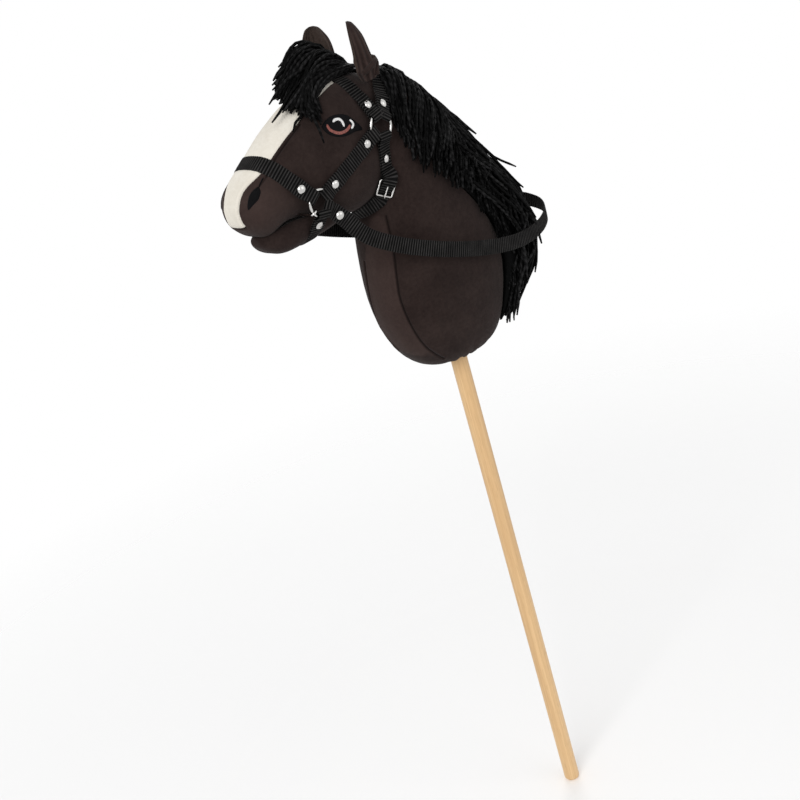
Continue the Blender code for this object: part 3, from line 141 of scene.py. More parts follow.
# Long folds and the tuck at the foot of an ear, and how far up it is drawn together
EAR_FOLD = 0.002
EAR_FOLD_LEAST = 0.75
EAR_FOLDS = 24.0
EAR_FOLD_LEAN = 60.0
EAR_FOLDED = 0.022
EAR_TUCK = 0.0024
EAR_FULLER = 0.0022
# How much painted highlight the ridges of the folds get
EAR_RIDGE_PAINTED_HIGHLIGHT = 1.5
EAR_KNOT_HALF = 0.22
EAR_KNOT_TALL = 2.4
EAR_TUCK_HEIGHT = 0.015
EAR_TUCK_HALF = 0.003
EAR_TUCK_SLANT = 0.0045
EAR_KNOT = 0.0034
EAR_KNOT_PLACE = -0.3
EAR_FOOT_SPREAD = 0.0045
EAR_BANDS = (
    (((-105, 0.01), (-75, 0.0125), (-45, 0.015), (-15, 0.0175), (20, 0.0185), (55, 0.018)), 0.003),
    (((-36, 0.002), (-30, 0.0075), (-26, 0.0125), (-23, 0.017), (-22, 0.02)), 0.003),
)
EAR_BAND_OVER = 0.001

# The droop of the upper lip over the jaw and of the chin: the place seen there, how low and how wide
LIP_PLACE = ((267, 234),)
LIP_DROOP = 0.0068
LIP_REACH = 0.017
CHIN_PLACE = ((281, 246),)
CHIN_DROOP = 0.0036
CHIN_REACH = 0.024

# Places of the photograph, as pixels from its top left corner: seams, eye and nostril on the left side
PHOTO_MIDDLE = 400
PHOTO_FOCUS = 1300
FAR_GUSSET_SEAM = ((364, 262), (367, 285), (371, 305), (380, 328), (398, 350))
GUSSET_SEAM = ((386, 216), (394, 252), (397, 278), (401, 301), (412, 327), (426, 347), (444, 359))
SIDE_SEAM = ((300, 124), (297, 128), (281, 150), (274, 161), (268, 174), (258.5, 187))
EYE_OUTLINE = (
    (321.5, 127.0), (325.0, 121.0), (331.0, 116.2), (338.9, 114.1), (346.5, 115.0), (353.5, 119.5),
    (362.5, 129.0), (355.5, 131.5), (347.5, 135.6), (338.9, 137.0), (330.5, 135.2), (325.0, 131.5),
)
IRIS_LINE = (
    (326.9, 124.2), (328.2, 127.8), (331.6, 131.0), (338.9, 133.2), (345.5, 131.0), (348.6, 127.8),
    (349.9, 124.6),
)
IRIS_WIDTH = 0.0034
GLINT_LINE = ((332.6, 122.3), (335.0, 119.9), (338.9, 119.4), (342.0, 122.0), (343.9, 126.8))
GLINT_WIDTH = 0.0027
WHITE_LINE = ((349.2, 120.0), (351.8, 122.0), (352.9, 125.0), (351.2, 128.8))
WHITE_WIDTH = 0.0024
NOSTRIL_OUTLINE = (
    (258.7, 186.6), (260.8, 191.7), (258.5, 199.3), (253.5, 205.0), (248.4, 210.2), (247.6, 204.0),
    (249.4, 196.0), (252.8, 190.7),
)
NOSTRIL_STITCH = ((258.7, 187.6), (261.2, 182.0), (263.5, 177.5))

# Mane's strands: where they end on the left side, from the poll down
MANE_TIPS = (
    (390, 118), (405, 146), (417, 169), (426, 168), (438, 180), (451, 189), (464, 189), (475, 207),
    (489, 225), (497, 241), (503, 262), (503, 286), (502, 309), (508, 320),
)
MANE_STRANDS = 420

# Yarn: its radius and how far that varies, the step of its twist, its long waves and its short kinks
YARN_RADIUS = 0.0017
YARN_SIZES = (0.85, 1.12)
YARN_END = 0.55
TWIST_STEP = 0.0042
YARN_SEED = 1
WAVE, WAVES_PER_METRE = 0.0036, 22
KINK, KINKS_PER_METRE = 0.0016, 90
STRANDS_APART = 3.1

# Crest and poll that the mane is sewn along: ahead of the stick's axis, heights, half width at the poll
MANE_TOP = (0.002, 0.35)
MANE_FOOT = 0.1
CREST_BENDS_AT = 0.3
POLL_HALF = 0.028
POLL_SHARE = 0.16
POLL_HEAP = 0.001

# Strands on the sides: how roots, tips and lengths vary, how the outer layers are cut, lie, flare and arch
SIDE_POINTS = 10
SIDE_ROOTS = (-0.06, 0.03)
SIDE_TIPS = (-0.05, 0.05)
SIDE_LENGTHS = (-0.09, 0.06)
LAYERS_CUT = 0.4
MANE_CLEAR = 0.0036
LAYERS_CLEAR = 0.006
FLAT_SHARE = 0.45
SIDE_FLARE = 0.01
SIDE_ARCH = 0.012
SIDE_BULGE = 0.005

# Strands down the crest: highest root, how far down the last one is, lengths, lowest ends, arch, fan, flare
REAR_STRANDS = 300
REAR_SEED = 7
REAR_POINTS = 8
REAR_TOP = 0.33
REAR_DOWN = 0.235
REAR_LENGTHS = (0.06, 0.115)
REAR_FOOT = 0.016
REAR_ARCH = 0.01
REAR_FLAT = 0.6
REAR_FAN = 0.8
REAR_FLARE = 0.016
REAR_CLEAR = 0.002

# The mane's core, which fills it under its strands
CORE_WIDTH = 0.88
CORE_HEIGHT = 0.7
CORE_UNDER = 0.001
CORE_LEAST = 0.0006
CORE_SUNK = 0.0015

# Where the forelock's strands end, from the left side over the forehead to the far side, and the strays
FORELOCK_TIPS = (
    (318, 121), (311, 122), (304, 118), (297, 117), (291, 115), (285, 107), (279, 98), (278, 88), (281, 73),
)
FORELOCK_STRAYS = (
    (314.5, 146.6), (293.5, 139), (283, 113), (271.2, 123), (270.3, 105), (275, 99), (308, 133),
)
FORELOCK_STRANDS = 200
FORELOCK_SEED = 11
FORELOCK_POINTS = 9
FORELOCK_SIZES = (0.85, 1.1)
FORELOCK_STRAY_SIZE = 0.9
FORELOCK_STRAY_FIRST, FORELOCK_STRAY_STEP = 0.15, 0.1
FORELOCK_STRAY_LOOSE = 0.004
FORELOCK_ROOT = (0.046, 0.355, -0.012, 0.024)
FORELOCK_ROOTS = (-0.008, 0.006)
FORELOCK_TIP_PIXELS = ((-4, 4), (-15, 9))
FORELOCK_TIP_NEAR, FORELOCK_TIP_ACROSS = -0.034, 0.046
FORELOCK_CLEAR = 0.003
FORELOCK_LAYERS = 0.006
FORELOCK_ARCH = (0.016, 0.014)
FORELOCK_ARCH_WAY = (0.12, 0, 1.0)
FORELOCK_NEAR_WAY = (-1.3, 0, 0.48)
FORELOCK_SPREAD = 0.008

# Stick, whose foot is at the origin
STICK_DIAMETER = 0.02
STICK_BELOW_NECK = 0.642
STICK_IN_NECK = 0.23
STICK_END_ROUND = 0.005
STICK_SHARES = (0.1, 0.3, 0.5, 0.7, 0.9)

# Neck: height over its bottom, its front and its rear behind the stick's axis, half width
NECK_SQUARENESS = 2.25
NECK_STATIONS = (
    (0.0, -0.028, 0.034, 0.021), (0.005, -0.046, 0.052, 0.031), (0.016, -0.062, 0.065, 0.039),
    (0.038, -0.079, 0.079, 0.046), (0.07, -0.09, 0.09, 0.052), (0.105, -0.094, 0.095, 0.055),
    (0.14, -0.092, 0.093, 0.055), (0.175, -0.087, 0.086, 0.053), (0.21, -0.08, 0.075, 0.05),
    (0.245, -0.073, 0.06, 0.047), (0.28, -0.066, 0.042, 0.044), (0.31, -0.06, 0.025, 0.04),
    (0.33, -0.054, 0.01, 0.033), (0.342, -0.044, -0.006, 0.022),
)

# Webbing straps
STRAP_WIDTH = 0.017
STRAP_THICKNESS = 0.0014
STRAP_LAY = -0.0002
LAYER_GAP = 0.0003
WIRE_FIT = 0.0005
TURN_BACK = 0.021
FOLD_SETTLES = 0.0056
FOLD_STEPS = 6
FOLD_DOWN = (0.28, 0.55)
PINCH_REACH = 0.01
MEET_REACH = 0.014
STRAP_STEP = 0.004
POINT_APART = 0.001

# Rings: distance ahead of the stick's axis and height of their middles
RING_WIRE = 0.003
RING_RADIUS = 0.0135
LOWER_RING = (0.158, 0.247)
UPPER_RING = (0.06, 0.294)
RING_PINCH = 0.015
RING_POINTS, RING_SIDES = 72, 18
WIRE_SIDES, TONGUE_SIDES = 16, 14
WIRE_OVER_LAY = STRAP_THICKNESS + WIRE_FIT + RING_WIRE / 2

# Rivets
RIVET_CAP = 0.009
RIVET_DOME = 0.0022
RIVET_SHANK = 0.0026
RIVET_FLANGE = 0.0052
RIVET_FLANGE_THICK = 0.0005
RIVET_FIT = 0.0003
RIVET_EDGE = 0.0003
RIVET_STEP = 0.0002
RIVET_FLAT = 0.0066
RIVET_FROM_WIRE = 0.0124

# Routes of the straps in the side view, from their rings: ahead of the stick's axis, height
NOSEBAND_ROUTE = (LOWER_RING, (0.173, 0.266), (0.19, 0.2915), (0.199, 0.3045))
CHIN_ROUTE = (LOWER_RING, (0.1605, 0.23), (0.165, 0.205))
BROWBAND_ROUTE = (UPPER_RING, (0.064, 0.315), (0.069, 0.336), (0.0715, 0.352))
CROWN_ROUTE = (UPPER_RING, (0.042, 0.315), (0.028, 0.334), (0.016, 0.347))
THROAT_ROUTE = (
    UPPER_RING, (0.059, 0.262), (0.0585, 0.246), (0.0705, 0.219), (0.08, 0.2135), (0.095, 0.21),
    (0.096, 0.2),
)
GIRTH_STRAPS = (
    ("noseband", NOSEBAND_ROUTE, LOWER_RING_Y, True),
    ("chin_strap", CHIN_ROUTE, LOWER_RING_Y, False),
    ("browband", BROWBAND_ROUTE, UPPER_RING_Y, True),
    ("crownpiece", CROWN_ROUTE, UPPER_RING_Y, True),
)
REIN_TURN = math.radians(-45)

# Buckle on the left throat strap
BUCKLE_FROM_RING = 0.048
BUCKLE_LENGTH = 0.0165
BUCKLE_WIRE = 0.002
BUCKLE_SIDE_ROOM = 0.0006
BUCKLE_CORNER = 0.002
BUCKLE_TIP = 0.013
TONGUE_WIRE = 0.0016
TONGUE_FIT = 0.00025
TONGUE_PAST_BAR = 0.0015
TONGUE_SHARES = (0.2, 0.4, 0.6, 0.8, 0.92, 1.0)
EYE_POINTS, EYE_FROM, EYE_STEP = 31, 330, 8
THROAT_RIVET_FROM_WIRE = 0.023
LOOP_FROM_BENDS = 0.006
UNDER_BAR_FROM = 0.003
FLAT_PAST_BARS = 0.0025
PAST_HINGE = 0.002
STEP_DOWN = 0.0065
STEP_RISE = 0.0006

# Bit
BIT_WIRE = 0.0024
BIT_TURN = math.radians(205)
BIT_HOOK = 240
BIT_HOOK_STEPS = 28

# Ears: height along the ear, radius of its cup, degrees that the cup wraps to each side of its back
EAR_AHEAD = 0.047
EAR_APART = 0.068
HEAD_TOP = 0.352
EAR_SINK = 0.012
EAR_FOOT = HEAD_TOP - EAR_SINK
EAR_LEAN_AHEAD = 0.09
EAR_LEAN_OUT = -0.08
EAR_FACING = math.radians(-35)
EAR_DEPTH = 0.7
EAR_THICKNESS = 0.003
EAR_LINING_SHARE = 0.55
EAR_THINS_BELOW = 0.006
EAR_HOLLOW = 0.0004
EAR_COLUMNS = 61
EAR_STATIONS = (
    (0.0, 0.0075, 150), (0.009, 0.012, 140), (0.02, 0.0148, 125), (0.032, 0.0145, 112), (0.044, 0.013, 104),
    (0.053, 0.0095, 98), (0.059, 0.0058, 92), (0.0615, 0.0025, 90),
)

# Blaze: half width against distance ahead of the stick's axis, down to the lip
BLAZE_CORE = (0.15, 0.275)
BLAZE_TURNS = (133, -18)
BLAZE_STEP = 0.002
BLAZE_COLUMNS = 33
BLAZE_EDGE = 0.0012
BLAZE_EDGE_SUNK = 0.0003
BLAZE_RAYS = 96
BLAZE_ENDS = 60
BLAZE_LIP_HEIGHT = 0.27
BLAZE_HALVES = (
    (0.08, 0.0165), (0.11, 0.023), (0.15, 0.026), (0.19, 0.023), (0.203, 0.0225), (0.213, 0.02),
    (0.222, 0.0165), (0.23, 0.0135), (0.24, 0.0125),
)

# Mane: height, where its edges lie along the neck, thickness at the crest
MANE_EDGE = 0.003
CORE_COLUMNS = 25
MANE_STATIONS = (
    (0.326, -0.002, 0.0045), (0.312, -0.012, 0.008), (0.29, -0.018, 0.012), (0.262, -0.022, 0.017),
    (0.232, -0.02, 0.023), (0.203, 0.006, 0.031), (0.174, 0.03, 0.041), (0.143, 0.053, 0.048),
    (0.117, 0.062, 0.05), (0.089, 0.064, 0.048), (0.062, 0.058, 0.04), (0.038, 0.052, 0.024),
    (0.02, 0.05, 0.009),
)

# Rein: rearward of the stick's axis, out from the middle, height on the left side and on the right
REIN_STEP = 0.008
REIN_RIVET_FROM_WIRE = 0.0152
REIN_FLAT = 1.2 * REIN_STEP
REIN_START = 0.012
REIN_ROUTE = (
    (-0.118, 0.048, 0.1965, 0.204), (-0.09, 0.0545, 0.1755, 0.189), (-0.055, 0.06, 0.1565, 0.1735),
    (-0.01, 0.064, 0.137, 0.155), (0.04, 0.064, 0.12, 0.1375), (0.085, 0.06, 0.11, 0.129),
    (0.125, 0.052, 0.1085, 0.128), (0.155, 0.038, 0.112, 0.1275), (0.173, 0.019, 0.116, 0.125),
    (0.178, 0.0, 0.12, 0.12),
)

# Finding the cloth under straps and patches
FAR_OUT = 0.3
HIT_FROM = 0.03
NEAR_CLOTH = 0.004
STEEPEST_TILT = 0.5
SWEEP_START = -0.15
SWEEP_END = 1.15
SWEEP_STEPS = 72
CORE_SHARE = 0.35
RAY_TRIES = 12
RAY_SETTLES = 0.6
CHEEK_STEPS = 30
SIGHT_FROM = 1.1
SIGHT_STEP = 0.01
SIGHT_STEPS = 70
PAST_RING = 0.006
SLOPE_REACH = 0.004

# Ribs of the webbing, along the strap
RIB_STEP = 0.0031
RIB_POINTS = 6
RIB_HEIGHT = 0.0007
RIB_SQUARENESS = 0.6
RIB_WIDENS = 0.012
EDGE_ROUND = 0.55
FLAT_TO, FLAT_HALF = 0.94, 0.55


def face_out(bm):
    """Turns the faces of a closed skin outwards."""
    bmesh.ops.recalc_face_normals(bm, faces=bm.faces)
    if bm.calc_volume(signed=True) < 0:
        bmesh.ops.reverse_faces(bm, faces=bm.faces)
    return bm


def loft(rings, closed=False, uvs=None):
    """A skin through rings of equally many points, with a lid on each end or round on itself."""
    bm = bmesh.new()
    layer = bm.loops.layers.uv.new("UVMap") if uvs else None
    rows = [[bm.verts.new(point) for point in ring] for ring in rings]
    count = len(rows[0])
    last = len(rows) - 1
    for i in range(len(rows) if closed else last):
        low, high = rows[i], rows[(i + 1) % len(rows)]
        for k in range(count):
            m = (k + 1) % count
            face = bm.faces.new((low[k], low[m], high[m], high[k]))
            face.smooth = True
            if uvs:
                marks = ((i, k), (i, k + 1), (i + 1, k + 1), (i + 1, k))
                for loop, (row, column) in zip(face.loops, marks):
                    loop[layer].uv = (uvs[0][row], uvs[1][column])
    if not closed:
        bm.faces.new(rows[0])
        bm.faces.new(rows[-1])
    return face_out(bm)


def mirrored(bm):
    """The same shape on the horse's other side."""
    other = bm.copy()
    bmesh.ops.transform(other, matrix=Matrix.Scale(-1, 4, (0, 1, 0)), verts=other.verts)
    bmesh.ops.reverse_faces(other, faces=other.faces)
    return other


def as_mesh(name, bm):
    """The shape as a mesh."""
    mesh = bpy.data.meshes.new(name)
    bm.to_mesh(mesh)
    bm.free()
    return mesh


def in_scene(name, data):
    """An object of the scene with this mesh, lamp or camera."""
    made = bpy.data.objects.new(name, data)
    bpy.context.scene.collection.objects.link(made)
    return made


def piece(name, bm, finish, replaced=(), body="horse"):
    """A finished object that rides on its body and stands for the CAD nodes that it replaces."""
    mesh = as_mesh(name, bm)
    mesh.shade_smooth()
    mesh.materials.append(finish.material)
    made = in_scene(name, mesh)
    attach(made, body)
    if replaced:
        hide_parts(*replaced)
    return made


def turned(profile, steps=40, at=Matrix.Identity(4)):
    """A solid of revolution about Z of (radius, height) points, whose ends lie on the axis."""
    bm = bmesh.new()
    line = [bm.verts.new((radius, 0, height)) for radius, height in profile]
    edges = [bm.edges.new(pair) for pair in zip(line, line[1:])]
    bmesh.ops.spin(
        bm,
        geom=line + edges,
        cent=(0, 0, 0),
        axis=(0, 0, 1),
        angle=math.tau,
        steps=steps,
        use_merge=True,
    )
    bmesh.ops.remove_doubles(bm, verts=bm.verts, dist=1e-6)
    bmesh.ops.transform(bm, matrix=at, verts=bm.verts)
    return face_out(bm)


def arc(centre, radius, start, end, steps):
    """Points of an arc in a profile, its angles in degrees."""
    return [
        (
            centre[0] + radius * math.cos(math.radians(start + (end - start) * i / steps)),
            centre[1] + radius * math.sin(math.radians(start + (end - start) * i / steps)),
        )
        for i in range(steps + 1)
    ]


def tube(path, radius, sides, closed=False, up=Vector((0, 1, 0))):
    """A round wire along the path."""
    rings = []
    for i, point in enumerate(path):
        ahead = heading(path, i, closed)
        first = (up - ahead * up.dot(ahead)).normalized()
        second = ahead.cross(first)
        turns = [math.tau * k / sides for k in range(sides)]
        rings.append([point + radius * (math.cos(a) * first + math.sin(a) * second) for a in turns])
    return loft(rings, closed)


def mesh_of(node):
    """A copy of a CAD node's mesh with its loose triangles joined."""
    bm = bmesh.new()
    bm.from_mesh(nodes[node].data)
    bmesh.ops.remove_doubles(bm, verts=bm.verts, dist=1e-6)
    return bm


class Form:
    """The skins that straps and patches lie on, hit by straight lines."""

    def __init__(self, shapes):
        self.trees = []
        for bm in shapes:
            self.trees.append(BVHTree.FromBMesh(bm))
            bm.free()

    def add(self, made):
        bm = bmesh.new()
        bm.from_mesh(made.data)
        self.trees.append(BVHTree.FromBMesh(bm))
        bm.free()

    def hit(self, start, ahead, reach=0.5):
        """The first point that a line meets, and the skin's direction there."""
        best = None
        for tree in self.trees:
            place, normal, _, distance = tree.ray_cast(start, ahead, reach)
            if place is not None and (best is None or distance < best[2]):
                best = (place, normal, distance)
        return best

    def near(self, place):
        """The skin's nearest point and its direction there."""
        best = None
        for tree in self.trees:
            met, normal, _, distance = tree.find_nearest(place)
            if best is None or distance < best[2]:
                best = (met, normal, distance)
        return best[0], best[1]


def on_curve(u, a, b, c, d):
    """The value at a share u of the way from b to c, on a smooth curve through a, b, c and d."""
    square = 2 * a - 5 * b + 4 * c - d
    cube = 3 * b - a - 3 * c + d
    return 0.5 * (2 * b + (c - a) * u + square * u**2 + cube * u**3)


def smooth_rows(rows, per_span):
    """The rows with more between them, on a smooth curve through each."""
    dense = []
    last = len(rows) - 1
    for i in range(last):
        near = [rows[max(0, min(last, i + k))] for k in (-1, 0, 1, 2)]
        for step in range(per_span):
            dense.append(tuple(on_curve(step / per_span, *values) for values in zip(*near)))
    dense.append(rows[last])
    return dense


def squared_circle(turn, squareness):
    """A point of a circle that the squareness draws towards its square."""
    c, s = math.cos(turn), math.sin(turn)
    power = 2 / squareness
    return math.copysign(abs(c) ** power, c), math.copysign(abs(s) ** power, s)


def axes_at(origin, *axes):
    """The matrix that puts a shape's own axes on these, at the origin."""
    return Matrix.Translation(origin) @ Matrix(axes).transposed().to_4x4()


def heading(points, i, closed=False):
    """The direction of a line of points at one of them."""
    if closed:
        return (points[(i + 1) % len(points)] - points[i - 1]).normalized()
    return (points[min(i + 1, len(points) - 1)] - points[max(i - 1, 0)]).normalized()


def other_side(place):
    """The place's mirror image on the horse's other side."""
    return Vector((place.x, -place.y, place.z))


class Lane:
    """The way that a strap takes: points a step apart, each with the strap's outward and side directions."""

    def __init__(self, points, sides, outward_hint):
        self.points = points
        self.sides = sides
        self.outward_hint = outward_hint
        self.measure()

    def measure(self):
        """Works out the directions and distances from the points."""
        pts = self.points
        along = [heading(pts, i) for i in range(len(pts))]
        self.sides = [(side - t * side.dot(t)).normalized() for side, t in zip(self.sides, along)]
        self.outward = [t.cross(side).normalized() for t, side in zip(along, self.sides)]
        middle = len(pts) // 2
        if self.outward[middle].dot(self.outward_hint(pts[middle])) < 0:
            self.outward = [-n for n in self.outward]
        self.reaches = [0.0]
        for a, b in zip(pts, pts[1:]):
            self.reaches.append(self.reaches[-1] + (b - a).length)
        self.length = self.reaches[-1]

    def rest_on(self, form, width, lay):
        """Tilts and lifts each stretch until the strap's whole width lies on the form."""
        shares = (-1.0, -0.5, 0.0, 0.5, 1.0)
        heights = []
        for point, side, n in zip(self.points, self.sides, self.outward):
            row = []
            for share in shares:
                met = form.hit(point + side * share * width / 2 + n * HIT_FROM, -n, 2 * HIT_FROM)
                row.append((met[0] - point).dot(n) if met else -HIT_FROM)
            heights.append(row)
        count = len(heights)
        tilts = []
        for row in heights:
            lies = max(row) > -NEAR_CLOTH
            slope = (row[-1] - row[0]) / width if lies else 0.0
            tilts.append(max(-STEEPEST_TILT, min(STEEPEST_TILT, slope)))
        tilts = spread(tilts, 2)
        for i in range(count):
            near_end = min(i, count - 1 - i) * STRAP_STEP
            tilts[i] *= ease((near_end - 0.5 * FOLD_SETTLES) / (1.5 * FOLD_SETTLES))
        lifts = []
        for row, tilt in zip(heights, tilts):
            lifts.append(max(0.0, max(h + lay - tilt * share * width / 2 for h, share in zip(row, shares))))
        lifts = spread([max(lifts[max(0, i - 1) : i + 2]) for i in range(count)], 1)
        lifts[0] = lifts[-1] = 0.0
        self.points = [p + n * lift for p, n, lift in zip(self.points, self.outward, lifts)]
        self.sides = [(s + n * tilt).normalized() for s, n, tilt in zip(self.sides, self.outward, tilts)]
        self.measure()
        self.even_out()
        return self

    def even_out(self):
        """Rounds the corners of the way a little, and sets its points evenly."""
        pts = self.points
        inner = [(a + b * 2 + c) / 4 for a, b, c in zip(pts, pts[1:], pts[2:])]
        self.points = [pts[0]] + inner + [pts[-1]]
        self.measure()
        frames = [self.frame(reach) for reach in even_steps(self.length, STRAP_STEP)]
        self.points = [place for place, _, _ in frames]
        self.sides = [side for _, side, _ in frames]
        self.measure()

    def meet(self, wire, at_end):
        """Bends the first or last stretch until the wire's middle lies over its end, at a fold's height."""
        index = -1 if at_end else 0
        for _ in range(6):
            miss = wire - (self.points[index] + self.outward[index] * WIRE_OVER_LAY)
            for i, reach in enumerate(self.reaches):
                away = self.length - reach if at_end else reach
                self.points[i] = self.points[i] + miss * max(0.0, 1 - away / MEET_REACH)
            self.measure()
        return self

    def flatten(self, middle, half, form=None, reach_out=0.0, out=0.0):
        """Makes a stretch flat and straight, clear of its own curve, as a rivet or a buckle presses it.

        With a form it is lifted until the form comes no higher than out over it, as wide as reach_out.
        """
        place, side, _ = self.frame(middle)
        along = (self.frame(middle + half)[0] - self.frame(middle - half)[0]).normalized()
        side = (side - along * side.dot(along)).normalized()
        outward = along.cross(side)
        if outward.dot(self.frame(middle)[2]) < 0:
            outward.negate()
        chosen = [i for i, reach in enumerate(self.reaches) if abs(reach - middle) <= half]
        lift = max([0.0] + [(self.points[i] - place).dot(outward) for i in chosen])
        for i in chosen if form else ():
            for across in (-reach_out, 0.0, reach_out):
                start = place + along * (self.reaches[i] - middle) + side * across + outward * HIT_FROM
                met = form.hit(start, -outward, 2 * HIT_FROM)
                lift = max(lift, (met[0] - start).dot(outward) + HIT_FROM - out) if met else lift
        for i in chosen:
            self.points[i] = place + along * (self.reaches[i] - middle) + outward * lift
            self.sides[i] = side
        self.measure()
        return self

    def press(self, from_end, half):
        """Makes it flat where a rivet near each of its ends presses it."""
        return self.flatten(from_end, half).flatten(self.length - from_end, half)

    def between(self, start, end):
        """The distances of the lane's own points from its start, those between the two."""
        return [reach for reach in self.reaches if start < reach < end]

    def frame(self, reach):
        """Place and directions at a distance from the start, carried straight on past either end."""
        i = 0
        while i < len(self.reaches) - 2 and self.reaches[i + 1] < reach:
            i += 1
        span = self.reaches[i + 1] - self.reaches[i]
        u = (reach - self.reaches[i]) / span
        held = max(0.0, min(1.0, u))
        place = self.points[i].lerp(self.points[i + 1], u)
        side = self.sides[i].lerp(self.sides[i + 1], held).normalized()
        outward = self.outward[i].lerp(self.outward[i + 1], held)
        outward = (outward - side * outward.dot(side)).normalized()
        return place, side, outward

    def at(self, reach, across, out):
        place, side, outward = self.frame(reach)
        return place + side * across + outward * out


def spread(values, reach):
    """Each value's mean with its neighbours."""
    made = []
    for i in range(len(values)):
        near = values[max(0, i - reach) : i + reach + 1]
        made.append(sum(near) / len(near))
    return made


def even_steps(length, step):
    count = max(2, round(length / step))
    return [length * i / count for i in range(count + 1)]


def thinned(points, step):
    """Points a step apart along a line of straight stretches, both its ends kept."""
    total = sum((b - a).length for a, b in zip(points, points[1:]))
    wanted = even_steps(total, step)
    made = []
    walked = 0.0
    stretches = [(a, b, (b - a).length) for a, b in zip(points, points[1:])]
    index = 0
    for reach in wanted:
        while index < len(stretches) - 1 and walked + stretches[index][2] < reach:
            walked += stretches[index][2]
            index += 1
        a, b, size = stretches[index]
        made.append(a.lerp(b, min(1.0, (reach - walked) / size) if size else 0.0))
    return made


def taut(points):
    """The points that a tight strap touches, of flat points in the order of a left turn."""
    chain = []
    for point in points:
        while len(chain) > 1:
            a, b = chain[-2], chain[-1]
            turn = (b[0] - a[0]) * (point[1] - b[1]) - (b[1] - a[1]) * (point[0] - b[0])
            if turn > 0:
                break
            chain.pop()
        chain.append(point)
    return chain


def route_value(route, height):
    """Distance ahead of the stick's axis on a route of (ahead, height) points, carried on past its ends."""
    rising = route[-1][1] > route[0][1]
    points = route if rising else tuple(reversed(route))
    i = 0
    while i < len(points) - 2 and points[i + 1][1] < height:
        i += 1
    (a, low), (b, high) = points[i], points[i + 1]
    return a + (b - a) * (height - low) / (high - low)


def girth_lane(form, route, ring_y, over):
    """The lane of a strap from the right ring to the left one, over the head or under it.

    The route is its line in the side view, from the rings to the middle of the head, as (ahead, height).
    """
    ring_ahead, ring_height = route[0]
    turn = 1 if over else -1
    core = ring_height + CORE_SHARE * (route[-1][1] - ring_height)
    flat = []
    for k in range(1, SWEEP_STEPS):
        angle = math.pi * (SWEEP_START + (SWEEP_END - SWEEP_START) * k / SWEEP_STEPS)
        ray = (math.cos(angle), turn * math.sin(angle))
        height = ring_height
        met = None
        for _ in range(RAY_TRIES):
            ahead = route_value(route, height)
            start = Vector((-ahead, FAR_OUT * ray[0], STICK_BELOW_NECK + core + FAR_OUT * ray[1]))
            met = form.hit(start, Vector((0, -ray[0], -ray[1])), FAR_OUT)
            if met is None:
                break
            found = met[0].z - STICK_BELOW_NECK
            height += RAY_SETTLES * (found - height)
        if met is not None:
            y, z = met[0].y + STRAP_LAY * ray[0], height + STRAP_LAY * ray[1]
            if turn * (z - ring_height) >= PAST_RING:
                flat.append((y, turn * z))
    slant = Vector((route[1][0] - ring_ahead, route[1][1] - ring_height)).normalized()
    anchor = ring_y - WIRE_OVER_LAY
    lift = RING_RADIUS * slant.y
    start = (anchor, turn * (ring_height + lift))
    end = (-anchor, turn * (ring_height + lift))
    chain = taut([start] + flat + [end])
    points = [Vector((-route_value(route, turn * z), y, STICK_BELOW_NECK + turn * z)) for y, z in chain]
    points = thinned(points, STRAP_STEP)
    sides = []
    for point in points:
        height = point.z - STICK_BELOW_NECK
        rise = route_value(route, height + SLOPE_REACH) - route_value(route, height - SLOPE_REACH)
        slope = rise / (2 * SLOPE_REACH)
        sides.append(Vector((1, 0, slope)).normalized())
    middle_point = Vector((-route[-1][0], 0, STICK_BELOW_NECK + core))
    lane = Lane(points, sides, lambda p: p - middle_point).rest_on(form, STRAP_WIDTH, STRAP_LAY)
    wire = at_side(ring_ahead + RING_RADIUS * slant.x, ring_height + lift, ring_y)
    return lane.meet(wire, False).meet(other_side(wire), True)


def side_lane(form, low, high, low_y, high_y):
    """The lane of a strap on the left cheek, from the lower ring to the upper one."""
    start = Vector((-low[0], 0, STICK_BELOW_NECK + low[1]))
    end = Vector((-high[0], 0, STICK_BELOW_NECK + high[1]))
    ahead = (end - start).normalized()
    total = (end - start).length
    flat = []
    for k in range(1, CHEEK_STEPS):
        reach = RING_RADIUS + (total - 2 * RING_RADIUS) * k / CHEEK_STEPS
        met = form.hit(start + ahead * reach + Vector((0, -FAR_OUT, 0)), Vector((0, 1, 0)), FAR_OUT)
        if met is not None:
            flat.append((-reach, -met[0].y + STRAP_LAY))
    first = (-RING_RADIUS, low_y - WIRE_OVER_LAY)
    last = (RING_RADIUS - total, high_y - WIRE_OVER_LAY)
    chain = taut([first] + flat + [last])
    points = thinned([start + ahead * -reach + Vector((0, -y, 0)) for reach, y in chain], STRAP_STEP)
    side = ahead.cross(Vector((0, 1, 0))).normalized()
    lane = Lane(points, [side] * len(points), lambda p: Vector((0, -1, 0)))
    lane.rest_on(form, STRAP_WIDTH, STRAP_LAY)
    first_wire = start + ahead * RING_RADIUS + Vector((0, -low_y, 0))
    last_wire = end - ahead * RING_RADIUS + Vector((0, -high_y, 0))
    return lane.meet(first_wire, False).meet(last_wire, True)


def ease(share):
    held = max(0.0, min(1.0, share))
    return held * held * (3 - 2 * held)


def over_fold(distance, wire_radius):
    """How high the outer layer's middle lies at a distance from its bend.

    It comes down from the wire onto the inner layer, and past that layer's end onto the cloth.
    """
    top = STRAP_THICKNESS / 2 + 2 * (wire_radius + WIRE_FIT + STRAP_THICKNESS / 2)
    doubled = STRAP_THICKNESS * 1.5 + LAYER_GAP
    single = STRAP_THICKNESS / 2
    if distance < FOLD_SETTLES:
        return doubled + (top - doubled) * ease(1 - distance / FOLD_SETTLES)
    return single + (doubled - single) * ease(1 - (distance - TURN_BACK - POINT_APART) / FOLD_SETTLES)


